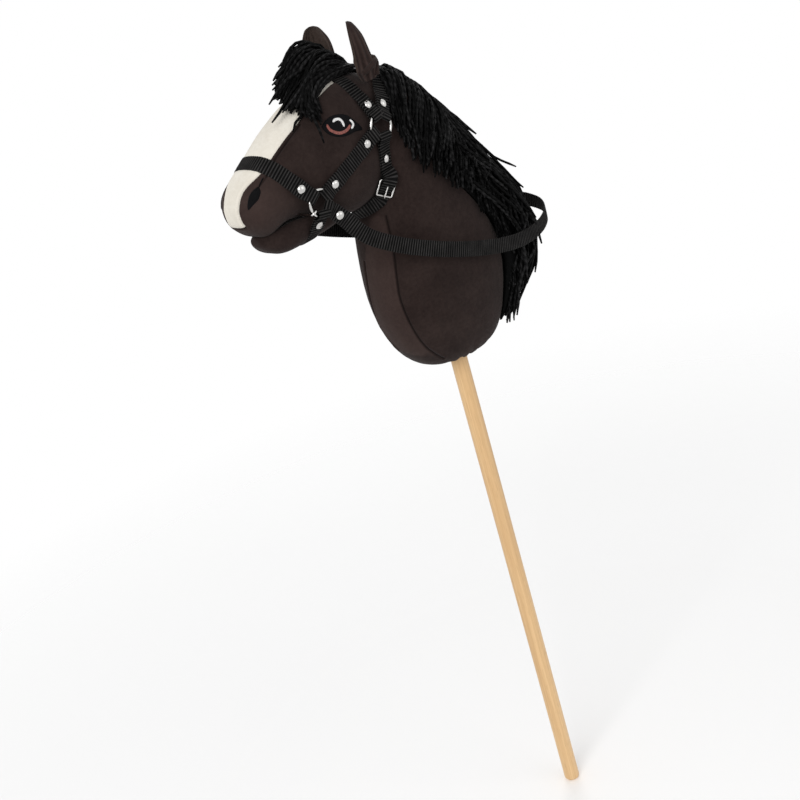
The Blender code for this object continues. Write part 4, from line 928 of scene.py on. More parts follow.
def bend(wire_radius, slack):
    """A strap's bend round a wire as (distance, out), from under it to over it, past it by the slack."""
    radius = wire_radius + WIRE_FIT + STRAP_THICKNESS / 2
    middle = STRAP_THICKNESS / 2 + radius
    turns = [math.pi * k / FOLD_STEPS for k in range(FOLD_STEPS + 1)]
    path = [(-slack - radius * math.sin(a), middle - radius * math.cos(a)) for a in turns]
    for share in (0.0, *FOLD_DOWN) if slack else FOLD_DOWN:
        path.append((share * FOLD_SETTLES, over_fold(share * FOLD_SETTLES, wire_radius)))
    return path


def ring_slack():
    """How far a bend of the pinched width passes a ring's wire, which curves away from it."""
    return RING_FILL + RING_RADIUS - math.sqrt(RING_RADIUS**2 - (RING_PINCH / 2) ** 2)


def turned_back(lane, at_end):
    """The (reach, out) points of a strap's folded end, from its inner layer's tip to its outer layer."""
    length = lane.length
    if at_end:
        near = lane.between(length - TURN_BACK + POINT_APART, length - 2 * POINT_APART)
        own = [length - reach for reach in reversed(near)]
    else:
        own = lane.between(2 * POINT_APART, TURN_BACK - POINT_APART)
    path = [(distance, STRAP_THICKNESS / 2) for distance in [TURN_BACK] + own[::-1]]
    path += bend(RING_WIRE / 2, ring_slack())
    return [(length - distance, out) for distance, out in path] if at_end else path


def with_place(reaches, place):
    """The distances with one at the place, and none right beside it."""
    return sorted([reach for reach in reaches if abs(reach - place) > POINT_APART] + [place])


def throat_levels():
    """Heights over the lane of the buckle's wire and of the strap that runs under, over and past it."""
    half = STRAP_THICKNESS / 2
    bar = STRAP_THICKNESS + WIRE_FIT + BUCKLE_WIRE / 2
    doubled = STRAP_THICKNESS * 1.5 + LAYER_GAP
    eye_top = BUCKLE_WIRE / 2 + TONGUE_FIT + TONGUE_WIRE
    return half, bar, doubled, bar + eye_top + LAYER_GAP + half


def at_side(ahead, height, y=0.0):
    return Vector((-ahead, y, STICK_BELOW_NECK + height))


def rein_lane(lower_y):
    """The rein's way from the left lower ring along the neck, round behind the mane, to the right one."""
    away = Vector((math.cos(REIN_TURN), 0, math.sin(REIN_TURN)))
    start = at_side(*LOWER_RING, 0) + away * RING_RADIUS
    start.y = -(lower_y - WIRE_OVER_LAY)
    left = [start, start + away * REIN_START]
    right = [other_side(place) for place in left]
    for x, y, left_height, right_height in REIN_ROUTE:
        left.append(Vector((x, -y, STICK_BELOW_NECK + left_height)))
        right.append(Vector((x, y, STICK_BELOW_NECK + right_height)))
    route = left + right[-2::-1]
    dense = [Vector(row) for row in smooth_rows([tuple(p) for p in route], 6)]
    points = thinned(dense, REIN_STEP)
    sides = []
    for i in range(len(points)):
        t = heading(points, i)
        sides.append((Vector((0, 0, 1)) - t * t.z).normalized())
    lane = Lane(points, sides, lambda p: Vector((1, 0, 0)))
    wire = at_side(*LOWER_RING, -lower_y) + away * RING_RADIUS
    return lane.meet(wire, False).meet(other_side(wire), True)


NECK_ROWS = smooth_rows(NECK_STATIONS, 4)
MANE_ROWS = smooth_rows(MANE_STATIONS, 2)


def resampled(path, step):
    """The (reach, out) points of a path set evenly, with their distance along it."""
    lengths = [0.0]
    for a, b in zip(path, path[1:]):
        lengths.append(lengths[-1] + math.hypot(b[0] - a[0], b[1] - a[1]))
    count = max(4, round(lengths[-1] / step))
    made = []
    i = 0
    for k in range(count + 1):
        wanted = lengths[-1] * k / count
        while i < len(path) - 2 and lengths[i + 1] < wanted:
            i += 1
        share = (wanted - lengths[i]) / max(1e-9, lengths[i + 1] - lengths[i])
        a, b = path[i], path[i + 1]
        made.append((a[0] + (b[0] - a[0]) * share, a[1] + (b[1] - a[1]) * share, wanted))
    return made


def strap_section():
    """Across and up, as shares of half the width and half the thickness, round a flat strap's section."""
    flat = [(across, 1.0) for across in (FLAT_TO, FLAT_HALF, 0.0, -FLAT_HALF, -FLAT_TO)]
    top = [(1.0, 0.0), (1.0, EDGE_ROUND)] + flat + [(-1.0, EDGE_ROUND)]
    return top + [(-a, -b) for a, b in top]


def webbing(lane, path, pinch=(), closed=False):
    """A ribbed strap of even thickness whose middle follows (reach, out) points of the lane."""
    if closed:
        path = path + path[:1]
    points = resampled(path, RIB_STEP / RIB_POINTS)
    if closed:
        points = points[:-1]
    count = len(points)
    section = strap_section()
    rings, along = [], []
    for i, (reach, out, run) in enumerate(points):
        before = points[i - 1] if closed or i else points[i]
        after = points[(i + 1) % count] if closed or i + 1 < count else points[i]
        size = max(1e-9, math.hypot(after[0] - before[0], after[1] - before[1]))
        thick = (-(after[1] - before[1]) / size, (after[0] - before[0]) / size)
        half = STRAP_WIDTH / 2
        for ends_here, place in pinch:
            away = (place - reach) if ends_here else (reach - place)
            pinched = RING_PINCH + (STRAP_WIDTH - RING_PINCH) * ease((away - POINT_APART) / PINCH_REACH)
            half = min(half, pinched / 2)
        rib = math.cos(math.tau * run / RIB_STEP)
        rib = math.copysign(abs(rib) ** RIB_SQUARENESS, rib)
        body = STRAP_THICKNESS / 2 - RIB_HEIGHT / 2
        ring = []
        for across, up in section:
            flat = 1.0 - 0.5 * abs(across) ** 6
            thickness = up * (body + RIB_HEIGHT * rib * flat * 0.5)
            side = across * half * (1 + RIB_WIDENS * rib)
            ring.append(lane.at(reach + thick[0] * thickness, side, out + thick[1] * thickness))
        rings.append(ring)
        along.append(run)
    if closed:
        along.append(along[-1] + RIB_STEP / RIB_POINTS)
    across_marks = [0.0]
    for (a, b), (c, d) in zip(section, section[1:] + section[:1]):
        step = math.hypot((a - c) * STRAP_WIDTH / 2, (b - d) * STRAP_THICKNESS / 2)
        across_marks.append(across_marks[-1] + step)
    return loft(rings, closed, (along, across_marks))


def ring_to_ring(lane):
    """A strap folded back round a ring's wire at each end of its lane."""
    length = lane.length
    path = turned_back(lane, False)
    past_tip = TURN_BACK + POINT_APART
    reaches = lane.between(FOLD_SETTLES * 0.75, length - FOLD_SETTLES * 0.75)
    for reach in with_place(with_place(reaches, past_tip), length - past_tip):
        path.append((reach, max(over_fold(reach, RING_WIRE / 2), over_fold(length - reach, RING_WIRE / 2))))
    path += reversed(turned_back(lane, True))
    return webbing(lane, path, ((False, 0.0), (True, length)))


def rivet_place(lane, reach):
    """Where a rivet through two layers stands: on the underside of the inner one, pointing out."""
    place, side, outward = lane.frame(reach)
    return axes_at(place, side, outward.cross(side), outward)


def rivet_shape(at):
    """A pressed cap with a rolled rim and a low dome, its shank and the flange clinched under the strap."""
    top = 2 * STRAP_THICKNESS + LAYER_GAP + RIVET_FIT
    half = RIVET_CAP / 2
    low = -RIVET_FIT - RIVET_FLANGE_THICK
    profile = [(0, low), (RIVET_FLANGE / 2 - RIVET_EDGE, low), (RIVET_FLANGE / 2, low + RIVET_EDGE)]
    profile += [(RIVET_FLANGE / 2, -RIVET_FIT), (RIVET_SHANK / 2, -RIVET_FIT), (RIVET_SHANK / 2, top)]
    profile += arc((half - RIVET_EDGE, top + RIVET_EDGE), RIVET_EDGE, -90, 30, 4)
    for turn in range(16, 90, 9):
        angle = math.radians(turn)
        profile.append(((half - RIVET_STEP) * math.cos(angle), top + RIVET_DOME * math.sin(angle)))
    profile.append((0, top + RIVET_DOME))
    return turned(profile, 36, at)


def add_rivet(name, place, metal, body="horse", flip=False):
    bm = rivet_shape(place)
    piece(name + "_shiny", mirrored(bm) if flip else bm, metal, [name], body)


def make_girth_strap(name, form, route, ring_y, over, cloth, metal):
    """A strap from ring to ring over or under the head, riveted behind each fold."""
    lane = girth_lane(form, route, ring_y, over)
    lane.press(RIVET_FROM_WIRE, RIVET_FLAT)
    piece(name + "_webbing", ring_to_ring(lane), cloth, [name])
    for side, reach in (("right", RIVET_FROM_WIRE), ("left", lane.length - RIVET_FROM_WIRE)):
        add_rivet("rivet_%s_%s" % (name, side), rivet_place(lane, reach), metal)


def make_cheekpieces(form, lower_y, upper_y, cloth, metal):
    lane = side_lane(form, LOWER_RING, UPPER_RING, lower_y, upper_y)
    lane.press(RIVET_FROM_WIRE, RIVET_FLAT)
    for side, flip in (("left", False), ("right", True)):
        bm = ring_to_ring(lane)
        piece("cheekpiece_%s_webbing" % side, mirrored(bm) if flip else bm, cloth, ["cheekpiece_" + side])
        for level, reach in (("lower", RIVET_FROM_WIRE), ("upper", lane.length - RIVET_FROM_WIRE)):
            add_rivet("rivet_cheek_%s_%s" % (level, side), rivet_place(lane, reach), metal, flip=flip)


def make_throat_straps(form, upper_y, cloth, metal):
    """The short left strap, looped through the ring and the buckle, and the long right one that it holds."""
    lane = girth_lane(form, THROAT_ROUTE, upper_y, False)
    lane.flatten(RIVET_FROM_WIRE, RIVET_FLAT).flatten(lane.length - THROAT_RIVET_FROM_WIRE, RIVET_FLAT)
    frame_half = STRAP_WIDTH / 2 + BUCKLE_SIDE_ROOM + BUCKLE_WIRE
    lane.flatten(
        lane.length - BUCKLE_FROM_RING - BUCKLE_LENGTH / 2,
        BUCKLE_LENGTH / 2 + 2 * STRAP_STEP,
        form,
        frame_half,
        STRAP_THICKNESS,
    )
    half, bar, doubled, over_hinge = throat_levels()
    hinge = lane.length - BUCKLE_FROM_RING
    low_bar = hinge - BUCKLE_LENGTH
    own = lane.between(hinge + LOOP_FROM_BENDS, lane.length - LOOP_FROM_BENDS)
    loop = [(reach, half) for reach in own]
    loop += [(lane.length - distance, out) for distance, out in bend(RING_WIRE / 2, ring_slack())]
    loop += [(reach, doubled) for reach in reversed(own)]
    loop += [(hinge + distance, out) for distance, out in reversed(bend(BUCKLE_WIRE / 2, 0.0))]
    bm = webbing(lane, loop, ((True, lane.length),), closed=True)
    piece("throat_strap_left_webbing", bm, cloth, ["throat_strap_left"])
    add_rivet("rivet_throat_left", rivet_place(lane, lane.length - THROAT_RIVET_FROM_WIRE), metal)

    path = turned_back(lane, False)
    reaches = lane.between(FOLD_SETTLES * 0.75, low_bar - UNDER_BAR_FROM)
    for reach in with_place(reaches, TURN_BACK + POINT_APART):
        path.append((reach, over_fold(reach, RING_WIRE / 2)))
    past = doubled + STRAP_THICKNESS + 1.5 * LAYER_GAP
    path += [
        (low_bar, half),
        (low_bar + FLAT_PAST_BARS, half),
        (hinge - FLAT_PAST_BARS, over_hinge),
        (hinge + PAST_HINGE, over_hinge),
        (hinge + STEP_DOWN, past + STEP_RISE),
    ]
    beside = lane.between(hinge + STEP_DOWN + PAST_HINGE, hinge + BUCKLE_TIP - POINT_APART)
    path += [(reach, past) for reach in beside]
    path.append((hinge + BUCKLE_TIP, past))
    bm = webbing(lane, path, ((False, 0.0),))
    piece("throat_strap_right_webbing", bm, cloth, ["throat_strap_right"])
    add_rivet("rivet_throat_right", rivet_place(lane, RIVET_FROM_WIRE), metal)
    make_buckle(lane, hinge, low_bar, bar, metal)


def make_buckle(lane, hinge, low_bar, bar, metal):
    """A wire frame whose upper bar lies in the short strap's fold, and a tongue hooked round that bar."""
    middle = lane.at(hinge, 0, bar)
    side = lane.frame((hinge + low_bar) / 2)[1]
    along = lane.at(low_bar, 0, bar) - middle
    along -= side * along.dot(side)
    reach = along.length
    along.normalize()
    outward = side.cross(along)
    if outward.dot(lane.frame(hinge)[2]) < 0:
        outward.negate()
    half_width = STRAP_WIDTH / 2 + BUCKLE_SIDE_ROOM + BUCKLE_WIRE / 2
    corner = BUCKLE_CORNER
    frame_path = []
    for (u, v, start) in (
        (reach - corner, half_width - corner, 0),
        (corner, half_width - corner, 90),
        (corner, corner - half_width, 180),
        (reach - corner, corner - half_width, 270),
    ):
        for k in range(10):
            turn = math.radians(start + 10 * k)
            place = middle + along * (u + corner * math.cos(turn))
            frame_path.append(place + side * (v + corner * math.sin(turn)))
    bm = tube(frame_path, BUCKLE_WIRE / 2, WIRE_SIDES, closed=True, up=outward)
    piece("buckle_frame_shiny", bm, metal, ["buckle_frame"])

    eye = BUCKLE_WIRE / 2 + TONGUE_FIT + TONGUE_WIRE / 2
    hook = outward.cross(along)
    tongue_path = []
    for k in range(EYE_POINTS):
        turn = math.radians(EYE_FROM - EYE_STEP * k)
        tongue_path.append(middle + along * (eye * math.cos(turn)) + outward * (eye * math.sin(turn)))
    for share in TONGUE_SHARES:
        tongue_path.append(middle + along * ((reach + TONGUE_PAST_BAR) * share) + outward * eye)
    bm = tube(tongue_path, TONGUE_WIRE / 2, TONGUE_SIDES, up=hook)
    piece("buckle_tongue_shiny", bm, metal, ["buckle_tongue"], "buckle_tongue")


def make_rein(lower_y, cloth, metal):
    lane = rein_lane(lower_y)
    lane.press(REIN_RIVET_FROM_WIRE, REIN_FLAT)
    piece("rein_webbing", ring_to_ring(lane), cloth, ["rein"], "rein")
    for side, reach in (("left", REIN_RIVET_FROM_WIRE), ("right", lane.length - REIN_RIVET_FROM_WIRE)):
        add_rivet("rivet_rein_" + side, rivet_place(lane, reach), metal, "rein")


def make_rings(lower_y, upper_y, metal):
    for level, (ahead, height), y in (("lower", LOWER_RING, lower_y), ("upper", UPPER_RING, upper_y)):
        for side, sign in (("left", -1), ("right", 1)):
            middle = at_side(ahead, height, sign * y)
            path = []
            for k in range(RING_POINTS):
                turn = math.tau * k / RING_POINTS
                path.append(middle + Vector((math.cos(turn), 0, math.sin(turn))) * RING_RADIUS)
            name = "ring_%s_%s" % (level, side)
            ring = tube(path, RING_WIRE / 2, RING_SIDES, closed=True)
            piece(name + "_shiny", ring, metal, [name], name)


def make_bit(ring_y, metal):
    """A straight wire through the mouth, each end bent round a lower ring."""
    away = Vector((math.cos(BIT_TURN), 0, math.sin(BIT_TURN)))
    wire = at_side(*LOWER_RING) + away * RING_RADIUS
    hook = RING_WIRE / 2 + WIRE_FIT + BIT_WIRE / 2
    end = []
    for k in range(BIT_HOOK_STEPS + 1):
        turn = math.radians(BIT_HOOK * (1 - k / BIT_HOOK_STEPS))
        end.append(wire + away * hook * math.cos(turn) + Vector((0, -ring_y - hook * math.sin(turn), 0)))
    path = end + [other_side(place) for place in reversed(end)]
    bm = tube(path, BIT_WIRE / 2, WIRE_SIDES, up=Vector((-away.z, 0, away.x)))
    piece("bit_shiny", bm, metal, ["bit"])


def make_stick(wood):
    """The dowel, both its ends sanded round."""
    top = STICK_BELOW_NECK + STICK_IN_NECK
    corner = STICK_END_ROUND
    middle = STICK_DIAMETER / 2 - corner
    profile = [(0, 0)] + arc((middle, corner), corner, -90, 0, 12)
    profile += [(STICK_DIAMETER / 2, top * share) for share in STICK_SHARES]
    profile += arc((middle, top - corner), corner, 0, 90, 6) + [(0, top)]
    piece("stick_wood", turned(profile, 72), wood, ["stick"])


# The slot of each finish
SLOTS = {
    "brown": "brown_cloth", "lining": "brown_cloth", "iris": "brown_cloth", "white": "white_cloth",
    "glint": "white_cloth", "thread": "black_thread", "yarn": "black_yarn", "web": "black_webbing",
    "metal": "bright_nickel", "wood": "pale_wood",
}

# The wave texture's scale at which one band takes one unit of length, and how far bands stray
BAND_PER_UNIT = math.tau / 20
THREAD_STRAY = 0.6
WEAVE_STRAY = 1.5

# Cloth: the dark and light of its pile, its sheen, its nap's height, and the painted shade in a seam
BROWN_PILE = ((0.014, 0.0082, 0.0073), (0.0335, 0.022, 0.0193), 0.06)
EAR_PILE = ((0.044, 0.03, 0.025), (0.08, 0.058, 0.048), 0.08)
CREAM_PILE = ((0.74, 0.69, 0.6), (0.86, 0.82, 0.74), 0.1)
NAP = 0.00035
PAINTED_SEAM_SHADE = (0.25, 0.22, 0.2)

# Colours, and the tones that a finish varies between, each with its place on the scale
THREAD_BLACK = (0.0025, 0.0025, 0.003)
IRIS_RED = (0.24, 0.055, 0.04)
IRIS_TONES = ((0.3, (0.13, 0.028, 0.022)), (0.7, (0.33, 0.085, 0.06)))
GLINT_WHITE = (0.86, 0.86, 0.85)
YARN_BLACK = (0.004, 0.004, 0.004)
# The yarn's lightest tones stand for painted highlight on the twist's ridges
YARN_TONES_AND_PAINTED_HIGHLIGHT = ((0.15, (0.0005,) * 3), (0.6, (0.0035, 0.0034, 0.0035)), (0.95, (0.022, 0.0215, 0.022)))
WEB_BLACK = (0.008, 0.008, 0.008)
# The webbing's lighter tones are painted light on its ribs' ridges, its darkest painted shade in their
# grooves
WEB_TONES_AND_PAINTED_RIB_LIGHT = (
    (0.28, (0.0006,) * 3), (0.5, (0.0042, 0.004, 0.0039)), (0.72, (0.04, 0.038, 0.037)),
    (0.95, (0.07, 0.067, 0.065)),
)
NICKEL = (0.86, 0.85, 0.82)
NICKEL_TONES = ((0.3, (0.5, 0.49, 0.475)), (0.7, (0.66, 0.65, 0.63)))
BEECH = (0.75, 0.5, 0.26)
BEECH_TONES = ((0.3, (0.62, 0.37, 0.165)), (0.52, (0.79, 0.52, 0.26)), (0.72, (0.9, 0.64, 0.355)))
BEECH_PORES = ((0.3, (0.78, 0.74, 0.7)), (0.42, (1, 1, 1)))
PLASTIC_BLACK = (0.02, 0.02, 0.02)
FLOOR_WHITE = (0.95, 0.95, 0.95)
FLOOR_TONES = ((0.3, FLOOR_WHITE), (0.7, (0.96, 0.96, 0.96)))


class Shader:
    """A node material in the making."""

    def __init__(self, name, colour, roughness, metallic=0.0, **sockets):
        self.material = bpy.data.materials.new(name)
        self.material.use_nodes = True
        self.nodes = self.material.node_tree.nodes
        self.links = self.material.node_tree.links
        self.shader = self.nodes["Principled BSDF"]
        self.shader.inputs["Base Color"].default_value = (*colour, 1)
        self.shader.inputs["Roughness"].default_value = roughness
        self.shader.inputs["Metallic"].default_value = metallic
        for socket, value in sockets.items():
            self.shader.inputs[socket.replace("_", " ")].default_value = value

    def put(self, value, target):
        """Links a socket to another one, or sets its value."""
        if isinstance(value, bpy.types.NodeSocket):
            self.links.new(value, target)
        else:
            target.default_value = value

    def node(self, kind, **inputs):
        made = self.nodes.new(kind)
        for socket, value in inputs.items():
            self.put(value, made.inputs[socket.replace("_", " ")])
        return made

    def place(self, scale=(1, 1, 1), kind="Object"):
        """Coordinates on the object, or along its own UV map, stretched by scale."""
        where = self.nodes.new("ShaderNodeTexCoord")
        return self.node("ShaderNodeMapping", Vector=where.outputs[kind], Scale=scale).outputs["Vector"]

    def noise(self, scale, detail=3.0, rough=0.5, vector=None):
        vector = vector or self.place()
        made = self.node("ShaderNodeTexNoise", Vector=vector, Scale=scale, Detail=detail, Roughness=rough)
        return made.outputs["Fac"]

    def bands(self, scale, distortion=0.0, way="X", phase=0.0):
        """Bands across the UV map, their edges strayed by the distortion."""
        along = self.place(kind="UV")
        made = self.node("ShaderNodeTexWave", Vector=along, Scale=scale, Distortion=distortion)
        made.inputs["Phase Offset"].default_value = phase
        made.bands_direction = way
        return made.outputs["Fac"]

    def ramp(self, value, stops):
        made = self.node("ShaderNodeValToRGB", Fac=value)
        points = made.color_ramp.elements
        while len(points) < len(stops):
            points.new(0.5)
        for point, (at, colour) in zip(points, stops):
            point.position = at
            point.color = (*colour, 1)
        return made.outputs["Color"]

    def maths(self, operation, *values):
        made = self.nodes.new("ShaderNodeMath")
        made.operation = operation
        for target, value in zip(made.inputs, values):
            self.put(value, target)
        return made.outputs[0]

    def mixture(self, *parts):
        """The sum of values, each times its share."""
        total = None
        for value, share in parts:
            part = self.maths("MULTIPLY", value, share)
            total = part if total is None else self.maths("ADD", total, part)
        return total

    def blend(self, how, share, first, second):
        made = self.nodes.new("ShaderNodeMix")
        made.data_type = "RGBA"
        made.blend_type = how
        for target, value in ((made.inputs[0], share), (made.inputs[6], first), (made.inputs[7], second)):
            self.put((*value, 1) if isinstance(value, tuple) else value, target)
        return made.outputs[2]

    def attribute(self, name):
        made = self.nodes.new("ShaderNodeAttribute")
        made.attribute_name = name
        return made.outputs["Fac"]

    def colour(self, socket):
        self.links.new(socket, self.shader.inputs["Base Color"])

    def rough(self, value, spread, least):
        """Roughness from the least up, by the value's share of the spread."""
        rough = self.maths("ADD", self.maths("MULTIPLY", value, spread), least)
        self.links.new(rough, self.shader.inputs["Roughness"])

    def bump(self, height, distance, strength=1.0):
        """Adds a bump under those that are already there."""
        made = self.node("ShaderNodeBump", Height=height, Distance=distance, Strength=strength)
        socket = self.shader.inputs["Normal"]
        if socket.links:
            self.links.new(socket.links[0].from_socket, made.inputs["Normal"])
        self.links.new(made.outputs["Normal"], socket)


def short_pile(name, dark, light, sheen):
    """Knitted cloth with a brushed nap: soft smudges of light and shade where the pile lies differently."""
    made = Shader(name, light, 0.95, Specular_IOR_Level=0.1, Sheen_Weight=sheen, Sheen_Roughness=0.45)
    smudges = made.noise(28, 4, 0.62)
    fine = made.noise(260, 3, 0.6)
    hairs = made.noise(1500, 2, 0.7)
    tone = made.mixture((made.mixture((smudges, 0.62), (fine, 0.38)), 0.8), (hairs, 0.2))
    pile = made.ramp(tone, ((0.34, dark), (0.66, light)))
    # Painted shade darkens the pile along the seams
    pile = made.blend("MULTIPLY", made.maths("MULTIPLY", made.attribute("seam_painted_shade"), 0.85), pile, PAINTED_SEAM_SHADE)
    # Painted highlight lightens the pile where its nap is marked: the neck's front panel, the muzzle and the
    # ears' ridges
    made.colour(made.blend("ADD", made.maths("MULTIPLY", made.attribute("painted_nap_highlight"), 0.5), pile, light))
    made.bump(hairs, NAP, 0.7)
    made.bump(fine, NAP * 1.6, 0.45)
    return made


def satin_stitch(name, colour, rough, **sockets):
    """Embroidery of threads laid side by side."""
    made = Shader(name, colour, rough, **sockets)
    made.bump(made.bands(BAND_PER_UNIT, THREAD_STRAY), 0.0002, 0.8)
    return made


def make_materials():
    """The object's finishes by name."""
    cloth = short_pile("brown_pile", *BROWN_PILE)
    lining = short_pile("ear_lining", *EAR_PILE)
    white = short_pile("cream_pile", *CREAM_PILE)

    thread = satin_stitch("black_satin_stitch", THREAD_BLACK, 0.55, Specular_IOR_Level=0.06)
    iris = satin_stitch("red_brown_stitch", IRIS_RED, 0.5, Sheen_Weight=0.1)
    iris.colour(iris.ramp(iris.noise(600), IRIS_TONES))
    glint = satin_stitch("white_stitch", GLINT_WHITE, 0.5)

    yarn = Shader("black_yarn_ply", YARN_BLACK, 0.6, Specular_IOR_Level=0.05)
    twist_relief_and_highlight = yarn.bands(BAND_PER_UNIT, THREAD_STRAY, "DIAGONAL")
    # The twist's bands lighten the ply's ridges as painted highlight; each strand's shade is its own tone at
    # random
    yarn.colour(yarn.ramp(yarn.mixture((yarn.attribute("shade"), 0.7), (twist_relief_and_highlight, 0.3)), YARN_TONES_AND_PAINTED_HIGHLIGHT))
    yarn.bump(twist_relief_and_highlight, 0.0009, 1.0)
    yarn.bump(yarn.noise(1800, 2), 0.0004, 0.6)

    web = Shader("black_ribbed_webbing", WEB_BLACK, 0.6, Specular_IOR_Level=0.06)
    # Painted light and shade of the ribs: lighter on their ridges, near black in their grooves
    painted_rib_light_and_shade = web.bands(BAND_PER_UNIT / RIB_STEP, phase=math.pi)
    weave = web.maths("MULTIPLY", web.bands(420, WEAVE_STRAY, "Y"), web.bands(560, WEAVE_STRAY))
    web.colour(web.ramp(web.mixture((weave, 0.3), (web.noise(90, 3), 0.3), (painted_rib_light_and_shade, 0.5)), WEB_TONES_AND_PAINTED_RIB_LIGHT))
    web.bump(weave, 0.0002, 0.9)

    metal = Shader("bright_nickel", NICKEL, 0.12, 1.0)
    metal.rough(metal.noise(160, 3), 0.07, 0.09)
    metal.colour(metal.ramp(metal.noise(45, 3), NICKEL_TONES))

    wood = Shader("pale_beech", BEECH, 0.5)
    grain = wood.noise(1.0, 6, 0.62, wood.place((420, 420, 7)))
    bands = wood.noise(1.0, 2, 0.5, wood.place((70, 70, 1.6)))
    pores = wood.noise(1.0, 2, 0.5, wood.place((1400, 1400, 60)))
    colour = wood.ramp(wood.mixture((grain, 0.45), (bands, 0.55)), BEECH_TONES)
    wood.colour(wood.blend("MULTIPLY", 0.6, colour, wood.ramp(pores, BEECH_PORES)))
    wood.rough(grain, 0.2, 0.38)
    wood.bump(grain, 0.0002, 0.4)

    plastic = Shader("black_moulded_plastic", PLASTIC_BLACK, 0.5)
    plastic.rough(plastic.noise(400), 0.2, 0.4)
    plastic.bump(plastic.noise(900), 0.00005, 0.5)
    made = {"brown": cloth, "lining": lining, "white": white, "thread": thread, "iris": iris, "glint": glint}
    made.update({"yarn": yarn, "web": web, "metal": metal, "wood": wood, "plastic": plastic})
    for name, finish in made.items():
        finish.slot = SLOTS.get(name)
    return made


def applied(bm, *changes):
    """The mesh after modifiers, each a kind and its settings."""
    worked = in_scene("work", as_mesh("work", bm))
    for kind, settings in changes:
        change = worked.modifiers.new(kind, kind)
        for setting, value in settings.items():
            setattr(change, setting, value)
    graph = bpy.context.evaluated_depsgraph_get()
    result = bpy.data.meshes.new_from_object(worked.evaluated_get(graph))
    made = bmesh.new()
    made.from_mesh(result)
    bpy.data.objects.remove(worked)
    bpy.data.meshes.remove(result)
    return made


def joined(*shapes):
    """Several shapes as one mesh."""
    made = bmesh.new()
    for bm in shapes:
        mesh = as_mesh("part", bm)
        made.from_mesh(mesh)
        bpy.data.meshes.remove(mesh)
    return made


def smoothed(bm, times):
    for _ in range(times):
        bmesh.ops.smooth_vert(bm, verts=bm.verts, factor=SMOOTHING, use_axis_x=True, use_axis_y=True,
                              use_axis_z=True)
    return bm


def puffed(bm, sewn_lines, shrink, cap):
    """The skin as its stuffing fills it in a cloth simulation, held at its seams, moved by cap at most."""
    bm.normal_update()
    for v in bm.verts:
        v.co -= v.normal * shrink
    mesh = bpy.data.meshes.new("skin")
    bm.to_mesh(mesh)
    made = in_scene("skin", mesh)
    near = nearest_of(sewn_lines)
    sewn = made.vertex_groups.new(name="sewn")
    for v in mesh.vertices:
        sewn.add([v.index], math.exp(-((near.find(v.co)[2] / SEWN_REACH) ** 2)), "REPLACE")
    cloth = made.modifiers.new("cloth", "CLOTH")
    cloth.settings.use_pressure = True
    cloth.settings.uniform_pressure_force = STUFFING_PRESSURE
    cloth.settings.effector_weights.gravity = 0
    cloth.settings.vertex_group_mass = "sewn"
    cloth.settings.bending_stiffness = CLOTH_BENDING
    cloth.collision_settings.use_collision = False
    cloth.point_cache.frame_start = 1
    cloth.point_cache.frame_end = STUFFING_FRAMES
    for frame_number in range(1, STUFFING_FRAMES + 1):
        bpy.context.scene.frame_set(frame_number)
    filled = made.evaluated_get(bpy.context.evaluated_depsgraph_get()).to_mesh()
    bm.verts.ensure_lookup_table()
    for v, after in zip(bm.verts, filled.vertices):
        move = after.co - v.co
        v.co += move * min(1.0, cap / max(1e-9, move.length))
    bpy.context.scene.frame_set(1)
    bpy.data.objects.remove(made)
    bpy.data.meshes.remove(mesh)
    return bm


def held_to(form, bm):
    """The skin brought back where it left the form by more than it may."""
    for v in bm.verts:
        met, normal = form.near(v.co)
        out = (v.co - met).dot(normal)
        v.co += normal * (max(-SKIN_UNDER, min(SKIN_OVER, out)) - out)
    return bm


def nearest_of(lines):
    """A finder of the nearest place of several lines."""
    near = KDTree(sum(len(line) for line in lines))
    for number, place in enumerate(place for line in lines for place in line):
        near.insert(place, number)
    near.balance()
    return near


def closed_neck():
    """The neck's skin without its bore for the stick."""
    bm = mesh_of("neck_body")
    bore = [v for v in bm.verts if math.hypot(v.co.x, v.co.y) < BORE_CLEARED]
    bmesh.ops.delete(bm, geom=bore, context="VERTS")
    bmesh.ops.holes_fill(bm, edges=[e for e in bm.edges if e.is_boundary], sides=0)
    bmesh.ops.triangulate(bm, faces=bm.faces)
    return face_out(bm)


def along_line(points):
    """Places close together on a smooth line through the points."""
    return thinned([Vector(row) for row in smooth_rows([tuple(p) for p in points], 6)], LINE_STEP)


def on_both_sides(places):
    """The places and their mirror images."""
    return places + [other_side(place) for place in places]


def with_painted_highlight(bm, left_seam, right_seam, muzzle):
    """Marks painted highlight on the nap: the neck's front panel between its seams, and the muzzle."""
    lines = [nearest_of([line]) for line in (left_seam, right_seam)]
    mark = bm.verts.layers.float.new("painted_nap_highlight")
    top = max(place.z for place in left_seam)
    for v in bm.verts:
        left, right = (near.find(Vector((v.co.x, v.co.y, min(v.co.z, top))))[0] for near in lines)
        ahead = left.lerp(right, (v.co.y - left.y) / max(1e-6, right.y - left.y))
        inside = ease((ahead.x - v.co.x) / PAINTED_HIGHLIGHT_EDGE + 0.5)
        below = ease((top + PAINTED_HIGHLIGHT_TOP - v.co.z) / PAINTED_HIGHLIGHT_TOP)
        away = min((v.co - place).length for place in muzzle) / MUZZLE_PAINTED_HIGHLIGHT_REACH
        v[mark] = max(inside * below, MUZZLE_PAINTED_HIGHLIGHT_SHARE * math.exp(-away * away))
    return bm


def with_puckers(bm):
    """Gathers the neck's bottom round the stick in small folds."""
    bm.normal_update()
    for v in bm.verts:
        reach = math.hypot(v.co.x, v.co.y)
        if v.co.z > STICK_BELOW_NECK + PUCKER_REACH or reach > PUCKER_REACH:
            continue
        depth = PUCKER_DEPTH * ease(1 - (reach - STICK_DIAMETER / 2) / PUCKER_REACH)
        v.co += v.normal * depth * math.cos(PUCKERS * math.atan2(v.co.y, v.co.x))
    return bm


